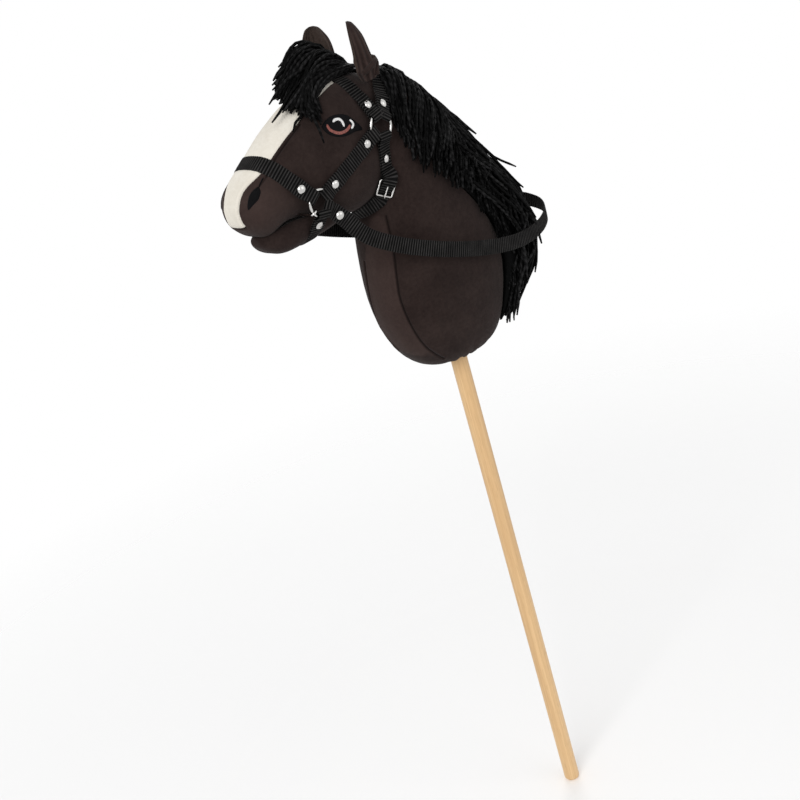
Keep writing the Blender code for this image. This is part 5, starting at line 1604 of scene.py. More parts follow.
def with_seams(bm, lines, depth, width, raised=0.0):
    """Draws the cloth in along the lines of stitches, on finer faces, and marks them for painted shade in the
    material.
    """
    skin = BVHTree.FromBMesh(bm)
    near = nearest_of([[skin.find_nearest(place)[0] for place in line] for line in lines])
    for share in SEAM_REFINED:
        edges = [e for e in bm.edges if near.find((e.verts[0].co + e.verts[1].co) / 2)[2] < width * share]
        bmesh.ops.subdivide_edges(bm, edges=edges, cuts=1, use_grid_fill=True)
    bmesh.ops.triangulate(bm, faces=[f for f in bm.faces if len(f.verts) > 4])
    bm.normal_update()
    mark = bm.verts.layers.float.new("seam_painted_shade")
    moves = []
    for v in bm.verts:
        away = near.find(v.co)[2] / width
        groove = math.exp(-away * away)
        swell = math.exp(-((away - SEAM_SWELL_AT) ** 2) / SEAM_SWELL_SPREAD)
        # Painted shade along the seam, for the material
        v[mark] = math.exp(-((away / PAINTED_SEAM_SHADE_REACH) ** 2))
        moves.append(v.normal * (raised * swell - depth * groove))
    for v, move in zip(bm.verts, moves):
        v.co += move
    return bm


def sagittal_line(form):
    """The line down the middle of the face, from the forehead over the nose to the lip."""
    core = Vector((-BLAZE_CORE[0], 0, STICK_BELOW_NECK + BLAZE_CORE[1]))
    points = []
    for k in range(BLAZE_RAYS + 1):
        turn = math.radians(BLAZE_TURNS[0] + (BLAZE_TURNS[1] - BLAZE_TURNS[0]) * k / BLAZE_RAYS)
        away = Vector((-math.cos(turn), 0, math.sin(turn)))
        points.append(form.hit(core + away * FAR_OUT, -away)[0])
    points = thinned(points, BLAZE_STEP)
    return Lane(points, [Vector((0, 1, 0))] * len(points), lambda p: p - core)


def blaze_half(ahead, height):
    """Half the blaze's width at a point of the face's middle line."""
    if height < BLAZE_LIP_HEIGHT:
        return BLAZE_HALVES[-1][1]
    near = BLAZE_HALVES[0]
    for far in BLAZE_HALVES[1:]:
        if ahead <= far[0]:
            return near[1] + (far[1] - near[1]) * max(0.0, ahead - near[0]) / (far[0] - near[0])
        near = far
    return near[1]


def blaze_widths(lane):
    halves = [blaze_half(-p.x, p.z - STICK_BELOW_NECK) for p in lane.points]
    return spread(spread(halves, 2), 2)


def blaze_edges(form, lane):
    """The lines of stitches round the blaze."""
    lines = []
    for sign in (-1, 1):
        line = []
        for point, side, outward, half in zip(lane.points, lane.sides, lane.outward, blaze_widths(lane)):
            met = form.hit(point + side * sign * half + outward * HIT_FROM, -outward)
            line.append(met[0])
        lines.append(thinned(line, LINE_STEP))
    for index in (0, -1):
        a, b = lines[0][index], lines[1][index]
        row = []
        outward = lane.outward[index]
        for k in range(BLAZE_ENDS + 1):
            met = form.hit(a.lerp(b, k / BLAZE_ENDS) + outward * HIT_FROM, -outward)
            row.append(met[0])
        lines.append(row)
    return lines


def make_blaze(form, lane, white):
    """The pale panel down the face, sewn down at its edges and a little raised between them."""
    top, under = [], []
    halves = blaze_widths(lane)
    count = len(lane.points)
    for i, (point, side, outward, half) in enumerate(zip(lane.points, lane.sides, lane.outward, halves)):
        row, low = [], []
        from_end = min(i, count - 1 - i) * BLAZE_STEP
        for k in range(BLAZE_COLUMNS):
            share = 2 * k / (BLAZE_COLUMNS - 1) - 1
            met = form.hit(point + side * half * share + outward * HIT_FROM, -outward)
            to_edge = min(from_end, half * (1 - abs(share)))
            rise = BLAZE_RISE * (1 - math.exp(-to_edge / BLAZE_EDGE)) - BLAZE_EDGE_SUNK
            row.append(met[0] + met[1] * rise)
            low.append(met[0] - met[1] * BLAZE_UNDER)
        top.append(row)
        under.append(low)
    made = piece("blaze_plush", slab(under, top), white, ["blaze_panel"])
    return made


def slab(under, over, painted_highlight=None):
    """A closed sheet between two grids of points, its upper side marked with how much painted highlight its
    nap gets.
    """
    bm = bmesh.new()
    mark = bm.verts.layers.float.new("painted_nap_highlight")
    low = [[bm.verts.new(p) for p in row] for row in under]
    high = [[bm.verts.new(p) for p in row] for row in over]
    rows, columns = len(low), len(low[0])
    for i in range(rows - 1):
        for k in range(columns - 1):
            bm.faces.new((high[i][k], high[i][k + 1], high[i + 1][k + 1], high[i + 1][k]))
            bm.faces.new((low[i][k], low[i + 1][k], low[i + 1][k + 1], low[i][k + 1]))
    for i in range(rows - 1):
        bm.faces.new((low[i][0], high[i][0], high[i + 1][0], low[i + 1][0]))
        bm.faces.new((low[i][-1], low[i + 1][-1], high[i + 1][-1], high[i][-1]))
    for k in range(columns - 1):
        bm.faces.new((low[0][k], low[0][k + 1], high[0][k + 1], high[0][k]))
        bm.faces.new((low[-1][k], high[-1][k], high[-1][k + 1], low[-1][k + 1]))
    # Painted highlight on the upper side
    if painted_highlight:
        for verts, shares in zip(high, painted_highlight):
            for vert, share in zip(verts, shares):
                vert[mark] = share
    return face_out(bm)


def stitched_patch(form, outline):
    """Raised satin stitch inside a closed outline of places on the left side of the cloth.

    Its stitches run across the longer way, and its UV map measures them in stitch widths.
    """
    rows = smooth_rows([tuple(p) for p in outline + outline[:1]], 5)[:-1]
    points = [Vector(p) for p in rows]
    middle = sum(points, Vector()) / len(points)
    normal = Vector()
    for a, b in zip(points, points[1:] + points[:1]):
        normal += (a - middle).cross(b - middle)
    normal.normalize()
    if normal.y > 0:
        normal.negate()
    far = max(points, key=lambda p: (p - middle).length)
    along = (far - middle) - normal * (far - middle).dot(normal)
    along.normalize()
    across = normal.cross(along)
    flat = [((p - middle).dot(along), (p - middle).dot(across)) for p in points]
    bm = bmesh.new()
    layer = bm.loops.layers.uv.new("UVMap")
    count = len(flat)
    marks = {}
    made = []
    for share in PATCH_RINGS:
        row = []
        for u, v in flat:
            start = middle + along * u * share + across * v * share + normal * HIT_FROM
            met = form.hit(start, -normal)
            size = math.hypot(u, v) * (1 - share)
            rise = PATCH_LAY + PATCH_RISE * (1 - math.exp(-size / PATCH_EDGE))
            row.append(bm.verts.new(met[0] + met[1] * rise))
            marks[row[-1]] = (u * share, v * share)
        made.append(row)
    met = form.hit(middle + normal * HIT_FROM, -normal)
    centre = bm.verts.new(met[0] + met[1] * (PATCH_LAY + PATCH_RISE))
    marks[centre] = (0.0, 0.0)
    for outer, inner in zip(made, made[1:]):
        for k in range(count):
            m = (k + 1) % count
            bm.faces.new((outer[k], outer[m], inner[m], inner[k]))
    for k in range(count):
        bm.faces.new((made[-1][k], made[-1][(k + 1) % count], centre))
    rim = []
    for vert in made[0]:
        rim.append(bm.verts.new(vert.co - normal * PATCH_DEEP))
        marks[rim[-1]] = marks[vert]
    for k in range(count):
        m = (k + 1) % count
        bm.faces.new((made[0][m], made[0][k], rim[k], rim[m]))
    bm.faces.new(rim)
    for face in bm.faces:
        for loop in face.loops:
            loop[layer].uv = [value / STITCH_WIDTH for value in marks[loop.vert]]
    return face_out(bm)


def stroke_patch(form, points, width, thickness, lay):
    """A curved stroke of satin stitch along a line of places on the left side, narrowing at both ends."""
    line = [Vector(p) for p in smooth_rows([tuple(p) for p in points], 5)]
    count = len(line)
    inward = Vector(PATCH_INWARD).normalized()
    under, over = [], []
    for i, point in enumerate(line):
        side = heading(line, i).cross(inward).normalized()
        from_end = min(i, count - 1 - i) / (count - 1)
        half = width / 2 * min(1.0, (from_end / STROKE_TAPER + STROKE_BLUNT) ** 0.5)
        low, high = [], []
        for k in range(STROKE_COLUMNS):
            share = 2 * k / (STROKE_COLUMNS - 1) - 1
            place, normal, _ = form.hit(point + side * half * share - inward * HIT_FROM, inward)
            crown = (1 - share**4) * min(1.0, from_end / STROKE_ENDS)
            low.append(place - normal * STROKE_DEEP)
            high.append(place + normal * (lay + thickness * crown))
        under.append(low)
        over.append(high)
    bm = slab(under, over)
    layer = bm.loops.layers.uv.new("UVMap")
    for face in bm.faces:
        for loop in face.loops:
            near = min(range(count), key=lambda i: (line[i] - loop.vert.co).length_squared)
            run = sum((b - a).length for a, b in zip(line[:near], line[1 : near + 1]))
            loop[layer].uv = (run / STITCH_WIDTH, (loop.vert.co - line[near]).length / STITCH_WIDTH)
    return bm


def sight(pixel):
    """The direction from the camera to a pixel of the photograph."""
    ahead = Vector(CAMERA_RIGHT) * (pixel[0] - PHOTO_MIDDLE) / PHOTO_FOCUS - Vector(CAMERA_BACK)
    return (ahead - Vector(CAMERA_UP) * (pixel[1] - PHOTO_MIDDLE) / PHOTO_FOCUS).normalized()


def seen(form, pixels):
    """The places on the form that the photograph shows at its pixels, or that pass it most closely."""
    start = Vector(CAMERA_PLACE)
    places = []
    for pixel in pixels:
        met = form.hit(start, sight(pixel), 3.0)
        if met:
            places.append(met[0])
            continue
        passed = [start + sight(pixel) * (SIGHT_FROM + SIGHT_STEP * k) for k in range(SIGHT_STEPS)]
        places.append(min(passed, key=lambda place: (form.near(place)[0] - place).length))
    return places


def both_sides(name, make, finish, replaced=None):
    """A piece of the left side and its mirror image on the right side."""
    bm = make()
    other = mirrored(bm)
    made = [piece(name + "_left", bm, finish, [replaced + "_left"] if replaced else ())]
    made.append(piece(name + "_right", other, finish, [replaced + "_right"] if replaced else ()))
    return made


def make_eyes(form, looks):
    both_sides("eye_almond", lambda: stitched_patch(form, seen(form, EYE_OUTLINE)), looks["thread"], "eye")
    iris = seen(form, IRIS_LINE)
    both_sides("eye_iris", lambda: stroke_patch(form, iris, IRIS_WIDTH, STROKE_RISE, IRIS_LAY), looks["iris"])
    for name, line, width in (("eye_glint", GLINT_LINE, GLINT_WIDTH), ("eye_white", WHITE_LINE, WHITE_WIDTH)):
        both_sides(name, lambda: stroke_patch(form, seen(form, line), width, STROKE_RISE, GLINT_LAY),
                   looks["glint"])


def make_nostrils(form, looks):
    leaf = seen(form, NOSTRIL_OUTLINE)
    both_sides("nostril_leaf", lambda: stitched_patch(form, leaf), looks["thread"], "nostril")
    stitch = seen(form, NOSTRIL_STITCH)
    both_sides("nostril_line", lambda: stroke_patch(form, stitch, NOSTRIL_LINE_WIDTH, NOSTRIL_LINE_RISE, 0.0),
               looks["thread"])


def ear_leaf():
    """A cupped leaf of cloth in long folds, its foot drawn together under a slanting tuck."""
    outer_rows, inner_rows, painted_highlight_rows = [], [], []
    foot = Vector((-EAR_AHEAD, -EAR_APART / 2, STICK_BELOW_NECK + EAR_FOOT))
    rise = Vector((-EAR_LEAN_AHEAD, -EAR_LEAN_OUT, 1)).normalized()
    back = Vector((math.cos(EAR_FACING), math.sin(EAR_FACING), 0))
    back = (back - rise * back.dot(rise)).normalized()
    wide = rise.cross(back).normalized()
    tip = EAR_STATIONS[-1][0]
    for height, half, wrap in smooth_rows(EAR_STATIONS, 9):
        middle = foot + rise * height
        opening = math.radians(wrap)
        half += EAR_FULLER * ease(height / tip) * min(1.0, half / EAR_THINS_BELOW)
        fold_depth = EAR_FOLD * min(1.0, EAR_FOLD_LEAST + ease(1 - height / EAR_FOLDED))
        fold_depth *= ease((tip - height) / EAR_FOLDED)
        outer, inner, painted_highlight = [], [], []
        for k in range(EAR_COLUMNS):
            place = 2 * k / (EAR_COLUMNS - 1) - 1
            turn = opening * place
            ridge = abs(math.cos((place * EAR_FOLDS + height * EAR_FOLD_LEAN) / 2)) ** 3
            folds = fold_depth * (ridge - 0.4)
            # Painted highlight on the ridges of the folds
            painted_highlight.append(EAR_RIDGE_PAINTED_HIGHLIGHT * ridge * min(1.0, fold_depth / EAR_FOLD))
            over_tuck = (height - EAR_TUCK_HEIGHT - EAR_TUCK_SLANT * place) / EAR_TUCK_HALF
            folds += EAR_TUCK * math.exp(-over_tuck * over_tuck)
            knot = ((place - EAR_KNOT_PLACE) / EAR_KNOT_HALF) ** 2
            knot += ((height - EAR_TUCK_HEIGHT) / (EAR_KNOT_TALL * EAR_TUCK_HALF)) ** 2
            folds += EAR_KNOT * math.exp(-knot) + EAR_FOOT_SPREAD * ease(1 - height / EAR_FOLDED)
            away = back * EAR_DEPTH * math.cos(turn) + wide * math.sin(turn)
            rim = 1 - place**8
            thick = EAR_THICKNESS * min(1.0, half / EAR_THINS_BELOW) * (0.25 + 0.75 * rim)
            outer.append(middle + away * (half + folds))
            inner.append(middle + away * max(EAR_HOLLOW, half + folds - thick))
        outer_rows.append(outer)
        inner_rows.append(inner)
        painted_highlight_rows.append(painted_highlight)
    return inner_rows, outer_rows, painted_highlight_rows


def ear_band(outer, places, radius):
    """A tuck of cloth that lies across the ear's foot, through places given by their turn and height."""
    stations = smooth_rows(EAR_STATIONS, 9)
    path = []
    for turn, height in smooth_rows(places, 4):
        row = min(range(len(stations)), key=lambda i: abs(stations[i][0] - height))
        share = max(-1.0, min(1.0, turn / stations[row][2]))
        column = round((share + 1) / 2 * (EAR_COLUMNS - 1))
        out = (outer[row][column] - outer[row][EAR_COLUMNS // 2].lerp(outer[row][0], 0.5)).normalized()
        path.append(outer[row][column] + out * EAR_BAND_OVER)
    for _ in range(6):
        middle = [(a + b + c) / 3 for a, b, c in zip(path, path[1:], path[2:])]
        path = [path[0]] + middle + [path[-1]]
    return tube(path, radius, 12, up=Vector((0.3, 0.2, 1)).normalized())


def make_ears(looks):
    inner, outer, painted_highlight = ear_leaf()
    for number, (places, radius) in enumerate(EAR_BANDS):
        tucks = both_sides("ear_tuck_%d" % number, lambda: ear_band(outer, places, radius), looks["brown"])
    middle = [[a.lerp(b, EAR_LINING_SHARE) for a, b in zip(low, high)] for low, high in zip(inner, outer)]
    # The ear's cloth carries painted highlight on its ridges
    cloths = both_sides("ear_cloth", lambda: slab(middle, outer, painted_highlight), looks["brown"], "ear")
    linings = both_sides("ear_lining", lambda: slab(inner, middle), looks["lining"])


def row_at(rows, height):
    """The values of a table's rows at a height, their first value, which rises from row to row."""
    height = max(rows[0][0], min(rows[-1][0], height))
    for low, high in zip(rows, rows[1:]):
        if high[0] >= height:
            share = (height - low[0]) / (high[0] - low[0])
            return [a + (b - a) * share for a, b in zip(low[1:], high[1:])]


def neck_oval(height):
    """The middle of the neck's section, and its half length and half width."""
    front, rear, half = row_at(NECK_ROWS, height)
    return (front + rear) / 2, (rear - front) / 2, half


def neck_place(height, turn, out):
    """A place over the neck's skin: height, turn about it from the crest, and distance out."""
    middle, reach, half = neck_oval(height)
    c, s = squared_circle(turn, NECK_SQUARENESS)
    away = Vector((c / reach, s / half, 0)).normalized()
    return Vector((middle + reach * c, half * s, STICK_BELOW_NECK + height)) + away * out


def mane_limit(height):
    middle, reach, _ = neck_oval(height)
    share = max(-0.98, min(0.98, (row_at(MANE_ROWS[::-1], height)[0] - middle) / reach))
    return math.acos(math.copysign(abs(share) ** (NECK_SQUARENESS / 2), share))


def mane_out(height, turn):
    """How far the mane's outside lies from the neck's skin."""
    limit = mane_limit(height)
    place = max(-1.0, min(1.0, turn / limit))
    fall = max(0.0, math.cos(turn)) ** 2.2 * (1 - place**4)
    return MANE_EDGE + (row_at(MANE_ROWS[::-1], height)[1] - MANE_EDGE) * fall


class Yarn:
    """Many strands of yarn in one mesh, each a thin tube with a shade of its own."""

    def __init__(self):
        self.bm = bmesh.new()
        self.uv = self.bm.loops.layers.uv.new("UVMap")
        self.shade = self.bm.verts.layers.float.new("shade")

    def strand(self, points, radius, shade, sides=5, segments=10):
        line = [Vector(p) for p in smooth_rows([tuple(p) for p in points], 3)]
        total = sum((b - a).length for a, b in zip(line, line[1:]))
        line = thinned(line, total / segments)
        rows = []
        count = len(line)
        first = None
        for i, point in enumerate(line):
            ahead = heading(line, i)
            if first is None:
                first = ahead.orthogonal().normalized()
            first = (first - ahead * first.dot(ahead)).normalized()
            second = ahead.cross(first)
            size = radius * (YARN_END if i in (0, count - 1) else 1.0)
            ring = []
            for k in range(sides):
                angle = math.tau * k / sides
                vert = self.bm.verts.new(point + size * (math.cos(angle) * first + math.sin(angle) * second))
                vert[self.shade] = shade
                ring.append(vert)
            rows.append(ring)
        for i in range(count - 1):
            for k in range(sides):
                m = (k + 1) % sides
                face = self.bm.faces.new((rows[i][k], rows[i][m], rows[i + 1][m], rows[i + 1][k]))
                face.smooth = True
                run = total * i / (count - 1) / TWIST_STEP
                run_on = total * (i + 1) / (count - 1) / TWIST_STEP
                near, far = k / sides, (k + 1) / sides
                marks = ((run, near), (run, far), (run_on, far), (run_on, near))
                for loop, mark in zip(face.loops, marks):
                    loop[self.uv].uv = mark
        self.bm.faces.new(rows[0][::-1])
        self.bm.faces.new(rows[-1])


def wiggle(place, seed):
    """How far a strand strays from its way, in long waves and short kinks."""
    apart = Vector((seed * STRANDS_APART, 0, 0))
    waves = WAVE * noise.noise_vector(place * WAVES_PER_METRE + apart)
    return waves + KINK * noise.noise_vector(place * KINKS_PER_METRE + apart)


def lifted(form, place, clear):
    """The place, moved off the cloth where it lies nearer to it than clear or under it."""
    met, normal = form.near(place)
    return met + normal * clear if (place - met).dot(normal) < clear else place


def on_plane(pixel, y):
    """The place that the photograph shows at a pixel if it lies y to the side."""
    start = Vector(CAMERA_PLACE)
    ahead = sight(pixel)
    return start + ahead * ((y - start.y) / ahead.y)


def along(points, share):
    """A place along a row of points, the share counted in points."""
    index = min(len(points) - 2, int(share * (len(points) - 1)))
    return Vector(points[index]).lerp(Vector(points[index + 1]), share * (len(points) - 1) - index)


def crest_place(share, aside):
    """A place on the crest that the mane is sewn along, from the poll down, to its side at the poll."""
    top = MANE_TOP[1]
    height = top - (top - MANE_FOOT) * share
    rear = row_at(NECK_ROWS, height)[1]
    over = ease((height - CREST_BENDS_AT) / (top - CREST_BENDS_AT))
    beside = aside * POLL_HALF * ease(1 - share / POLL_SHARE)
    return at_side(-(rear + (MANE_TOP[0] - rear) * over) + beside, height - beside / 4, -beside)


def side_strand(form, tips, share, chance):
    """A strand from the crest over the cloth's left side to where such strands end."""
    aside = math.sqrt(chance.random())
    met, normal = form.near(crest_place(max(0.0, min(1.0, share + chance.uniform(*SIDE_ROOTS))), aside))
    root = met + normal * (YARN_RADIUS + POLL_HEAP * ease(1 - share / POLL_SHARE))
    tip = along(tips, max(0.0, min(1.0, share + chance.uniform(*SIDE_TIPS))))
    layer = chance.random()
    reach = 1.0 - LAYERS_CUT * layer * layer + chance.uniform(*SIDE_LENGTHS)
    clear = MANE_CLEAR + LAYERS_CLEAR * layer
    flare = chance.uniform(0.0, SIDE_FLARE)
    high = ease((share - POLL_SHARE / 2) / (2 * POLL_SHARE))
    clear *= FLAT_SHARE + (1 - FLAT_SHARE) * high
    points = []
    for step in range(SIDE_POINTS):
        run = step / (SIDE_POINTS - 1)
        place = root.lerp(tip, run * reach)
        place.z += SIDE_ARCH * math.sin(math.pi * min(1.0, run * 1.4)) * (0.5 + layer) * high
        rise = clear * (FLAT_SHARE + (1 - FLAT_SHARE) * ease(run * 4)) + flare * run**3
        bulge = SIDE_BULGE * math.sin(math.pi * min(1.0, run * 2)) * layer * high
        place = lifted(form, place, rise + bulge)
        points.append(place + wiggle(place, share * 900 + layer * 9) * ease(run * 3))
    return points


def rear_strand(chance, number):
    """A strand that falls down the crest itself, its end free."""
    root = REAR_TOP - REAR_DOWN * (number + chance.random()) / REAR_STRANDS
    length = chance.uniform(*REAR_LENGTHS)
    fan = chance.uniform(-1, 1)
    lift = 1.0 - REAR_FLAT * chance.random() ** 2
    flare = REAR_FLARE * chance.random() ** 3
    points = []
    for step in range(REAR_POINTS):
        run = step / (REAR_POINTS - 1)
        height = root + REAR_ARCH * math.sin(math.pi * min(1.0, run * 3)) - length * run**1.15
        height = max(REAR_FOOT, height)
        turn = mane_limit(min(REAR_TOP, height)) * REAR_FAN * fan * ease(run * 1.6 + 0.1)
        out = mane_out(min(REAR_TOP, height), turn) * lift * (0.2 + 0.8 * ease(run * 5)) + flare * run**3
        place = neck_place(height, turn, max(REAR_CLEAR, out))
        points.append(place + wiggle(place, number + 0.5) * ease(run * 3))
    return points


def make_mane(form, looks):
    """The fall of yarn from the crest over both sides of the head's back and the neck."""
    tips = seen(form, MANE_TIPS)
    for side in ("left", "right"):
        chance = random.Random(side)
        yarn = Yarn()
        for number in range(MANE_STRANDS):
            share = (number + chance.random()) / MANE_STRANDS
            points = side_strand(form, tips, share, chance)
            yarn.strand(points, YARN_RADIUS * chance.uniform(*YARN_SIZES), chance.random())
        if side == "right":
            yarn.bm = mirrored(yarn.bm)
        piece("mane_yarn_" + side, yarn.bm, looks["yarn"], ["mane"] if side == "left" else ())
    chance = random.Random(REAR_SEED)
    yarn = Yarn()
    for number in range(REAR_STRANDS):
        points = rear_strand(chance, number)
        yarn.strand(points, YARN_RADIUS * chance.uniform(*YARN_SIZES), chance.random())
    piece("mane_yarn_rear", yarn.bm, looks["yarn"])
    under, over = [], []
    for height, _, _ in MANE_ROWS:
        low, high = [], []
        for k in range(CORE_COLUMNS):
            turn = CORE_WIDTH * mane_limit(height) * (2 * k / (CORE_COLUMNS - 1) - 1)
            out = mane_out(height, turn) * CORE_HEIGHT - CORE_SUNK
            low.append(neck_place(height, turn, -CORE_UNDER))
            high.append(neck_place(height, turn, max(CORE_LEAST, out)))
        under.append(low)
        over.append(high)
    piece("mane_core", slab(under, over), looks["yarn"])


def forelock_strand(form, pixel, across, chance, loose):
    """A strand from the poll that arches forwards and falls over the forehead."""
    ahead, height, near_y, far_y = FORELOCK_ROOT
    root = at_side(ahead + chance.uniform(*FORELOCK_ROOTS), height - FORELOCK_SPREAD * chance.random() ** 2,
                   near_y + (far_y - near_y) * across)
    tip = on_plane(pixel, FORELOCK_TIP_NEAR + FORELOCK_TIP_ACROSS * across)
    layer = chance.random()
    lift = FORELOCK_ARCH[0] + FORELOCK_ARCH[1] * layer
    points = []
    for step in range(FORELOCK_POINTS):
        run = step / (FORELOCK_POINTS - 1)
        place = root.lerp(tip, run)
        arch = math.sin(math.pi * run**0.8)
        place += Vector(FORELOCK_NEAR_WAY).lerp(Vector(FORELOCK_ARCH_WAY), ease(across / 0.4)) * lift * arch
        clear = FORELOCK_CLEAR + FORELOCK_LAYERS * layer * ease(run * 4) + loose * run**2
        place = lifted(form, place, clear)
        points.append(place + wiggle(place, across * 700 + layer * 9) * ease(run * 3))
    return points


def make_forelock(form, looks):
    """The lock of yarn that springs from the poll and falls over the forehead."""
    chance = random.Random(FORELOCK_SEED)
    yarn = Yarn()
    tips = [Vector((x, y, 0)) for x, y in FORELOCK_TIPS]
    for number in range(FORELOCK_STRANDS):
        across = (number + chance.random()) / FORELOCK_STRANDS
        end = along(tips, across)
        sideways, upright = FORELOCK_TIP_PIXELS
        pixel = (end.x + chance.uniform(*sideways), end.y + chance.uniform(*upright) * chance.random())
        points = forelock_strand(form, pixel, across, chance, 0.0)
        yarn.strand(points, YARN_RADIUS * chance.uniform(*FORELOCK_SIZES), chance.random())
    for number, pixel in enumerate(FORELOCK_STRAYS):
        across = FORELOCK_STRAY_FIRST + FORELOCK_STRAY_STEP * number
        points = forelock_strand(form, pixel, across, chance, FORELOCK_STRAY_LOOSE)
        yarn.strand(points, YARN_RADIUS * FORELOCK_STRAY_SIZE, chance.random())
    piece("forelock_yarn", yarn.bm, looks["yarn"], ["forelock"])


def hung(bm, places, droop, reach):
    """Lets the stuffed cloth hang round places on both of its sides."""
    for v in bm.verts:
        away = min((v.co - place).length for place in places) / reach
        v.co.z -= droop * math.exp(-away * away)
    return bm


def chin_seam(bm):
    """The places of a skin near its middle, where its two halves are sewn together."""
    return [v.co.copy() for v in bm.verts if abs(v.co.y) < SEWN_REACH / 4]


def make_soft_forms(looks):
    """The stuffed head, neck and jaw with their blaze, eyes and nostrils.

    It gives the skin that the yarn lies on, and the same with the blaze, which the straps lie on.
    """
    form = Form([mesh_of(node) for node in ("neck_body", "head_body")])
    lane = sagittal_line(form)
    seams = [along_line(seen(form, line)) for line in (GUSSET_SEAM, FAR_GUSSET_SEAM)]
    seams.append(on_both_sides(along_line(seen(form, SIDE_SEAM))))
    seams += blaze_edges(form, lane)
    body = joined(closed_neck(), mesh_of("head_body"))
    body = applied(body, ("REMESH", {"mode": "VOXEL", "voxel_size": BODY_VOXEL}))
    body = applied(held_to(form, puffed(smoothed(body, 3), seams, BODY_SHRINK, BODY_CAP)), SUBDIVIDED)
    lip = on_both_sides(seen(form, LIP_PLACE))
    body = hung(with_puckers(body), lip, LIP_DROOP, LIP_REACH)
    # Grooves at the seams, marked for painted shade
    body = with_seams(body, seams, SEAM_DEPTH, SEAM_WIDTH, SEAM_SWELL)
    # Painted highlight on the neck's front panel and the muzzle
    with_painted_highlight(body, seams[0], seams[1], on_both_sides(seen(form, MUZZLE_PAINTED_HIGHLIGHT)))
    body = piece("plush_head_neck", body, looks["brown"], ["neck_body", "head_body"])
    jaw = applied(mesh_of("lower_jaw"), ("REMESH", {"mode": "VOXEL", "voxel_size": JAW_VOXEL}))
    skin = puffed(smoothed(jaw, 2), [chin_seam(jaw)], JAW_SHRINK, JAW_CAP)
    chin_form = Form([mesh_of("lower_jaw")])
    chin = on_both_sides(seen(chin_form, CHIN_PLACE))
    jaw = hung(applied(held_to(chin_form, skin), SUBDIVIDED), chin, CHIN_DROOP, CHIN_REACH)
    jaw = piece("plush_jaw", jaw, looks["brown"], ["lower_jaw"])
    skin, whole = Form([]), Form([])
    skin.add(body)
    whole.add(make_blaze(skin, lane, looks["white"]))
    make_eyes(skin, looks)
    make_nostrils(skin, looks)
    skin.add(jaw)
    whole.trees += skin.trees
    return skin, whole


def shown_to(nodes_here, links):
    """One for rays from the camera, and for those that metal mirrors or glass lets through, else nothing."""
    path = nodes_here.new("ShaderNodeLightPath")
    shown = path.outputs["Is Camera Ray"]
    for ray in ("Is Glossy Ray", "Is Transmission Ray"):
        either = nodes_here.new("ShaderNodeMath")
        either.operation = "MAXIMUM"
        links.new(shown, either.inputs[0])
        links.new(path.outputs[ray], either.inputs[1])
        shown = either.outputs[0]
    return shown


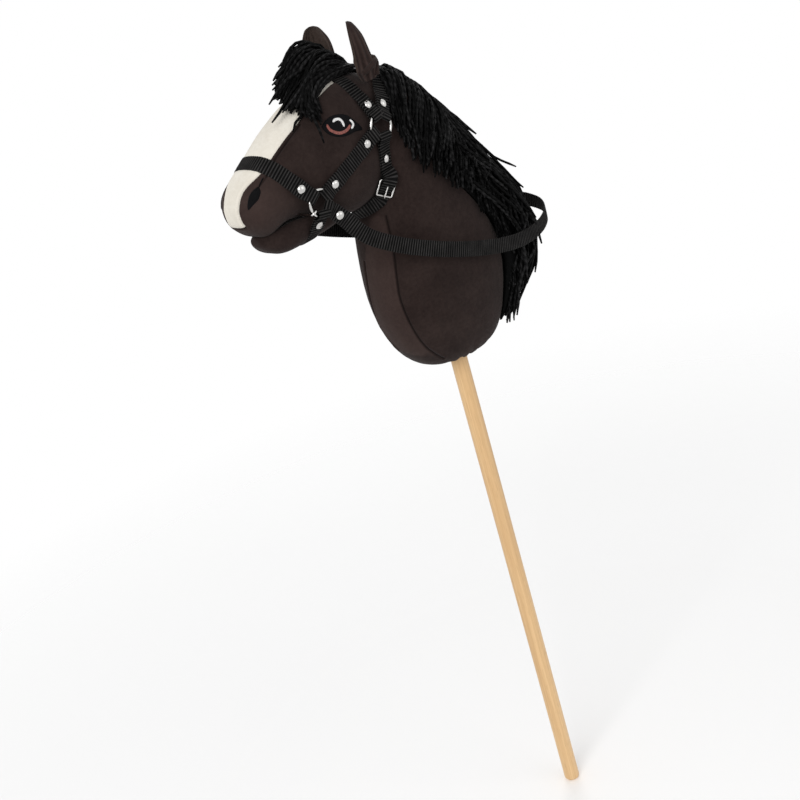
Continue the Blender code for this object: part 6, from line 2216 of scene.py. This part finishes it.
def make_stage():
    """A pale floor, soft lamps round the object and a white world behind it."""
    bm = bmesh.new()
    bmesh.ops.create_grid(bm, x_segments=1, y_segments=1, size=FLOOR_HALF)
    mesh = as_mesh("floor", bm)
    floor = in_scene("floor", mesh)
    pale = Shader("pale_floor", FLOOR_WHITE, 0.9, Emission_Color=(1, 1, 1, 1))
    pale.colour(pale.ramp(pale.noise(2.0), FLOOR_TONES))
    glow = pale.maths("MULTIPLY", shown_to(pale.nodes, pale.links), FLOOR_GLOW)
    pale.links.new(glow, pale.shader.inputs["Emission Strength"])
    away = pale.node("ShaderNodeVectorMath", Vector=pale.place((1, 1, 0)))
    away.operation = "LENGTH"
    near, far = FLOOR_FADE
    fade = pale.node("ShaderNodeMapRange", Value=away.outputs["Value"], From_Min=near, From_Max=far)
    pale.put(1.0, fade.inputs["To Min"])
    pale.put(0.0, fade.inputs["To Max"])
    pale.links.new(fade.outputs["Result"], pale.shader.inputs["Alpha"])
    mesh.materials.append(pale.material)

    for name, place, size, watts in LAMPS:
        light = bpy.data.lights.new(name, "AREA")
        light.energy = watts
        light.size = size
        lamp = in_scene(name, light)
        lamp.location = place
        lamp.rotation_euler = (Vector(LAMPS_AIM) - Vector(place)).to_track_quat("-Z", "Y").to_euler()

    world = bpy.data.worlds.new("studio")
    bpy.context.scene.world = world
    world.use_nodes = True
    nodes_here, links = world.node_tree.nodes, world.node_tree.links
    sky = nodes_here["Background"]
    sky.inputs["Color"].default_value = (0.9, 0.9, 0.9, 1)
    sky.inputs["Strength"].default_value = WORLD_LIGHT
    white = nodes_here.new("ShaderNodeBackground")
    white.inputs["Color"].default_value = (1, 1, 1, 1)
    white.inputs["Strength"].default_value = 1.0
    either = nodes_here.new("ShaderNodeMixShader")
    links.new(shown_to(nodes_here, links), either.inputs[0])
    links.new(sky.outputs[0], either.inputs[1])
    links.new(white.outputs[0], either.inputs[2])
    links.new(either.outputs[0], nodes_here["World Output"].inputs["Surface"])


def make_camera():
    """The photograph's camera."""
    data = bpy.data.cameras.new("camera")
    data.lens = CAMERA_LENS
    data.sensor_width = CAMERA_SENSOR
    data.clip_start = CAMERA_CLIP
    camera = in_scene("camera", data)
    turn = Matrix((CAMERA_RIGHT, CAMERA_UP, CAMERA_BACK)).transposed().to_4x4()
    camera.matrix_world = Matrix.Translation(CAMERA_PLACE) @ turn
    bpy.context.scene.camera = camera


def main():
    noise.seed_set(YARN_SEED)
    scene = bpy.context.scene
    scene.view_settings.view_transform = "Standard"
    make_camera()
    make_stage()
    looks = make_materials()
    skin, form = make_soft_forms(looks)
    web, metal = looks["web"], looks["metal"]
    for name, route, ring_y, over in GIRTH_STRAPS:
        make_girth_strap(name, form, route, ring_y, over, web, metal)
    make_cheekpieces(form, LOWER_RING_Y, UPPER_RING_Y, web, metal)
    make_throat_straps(form, UPPER_RING_Y, web, metal)
    make_rein(LOWER_RING_Y, web, metal)
    make_rings(LOWER_RING_Y, UPPER_RING_Y, metal)
    make_bit(LOWER_RING_Y, metal)
    make_stick(looks["wood"])
    make_ears(looks)
    make_mane(skin, looks)
    make_forelock(skin, looks)
    for node in ("stick_cap", "neck_tie"):
        for slot in nodes[node].material_slots:
            slot.material = looks["plastic"].material


main()
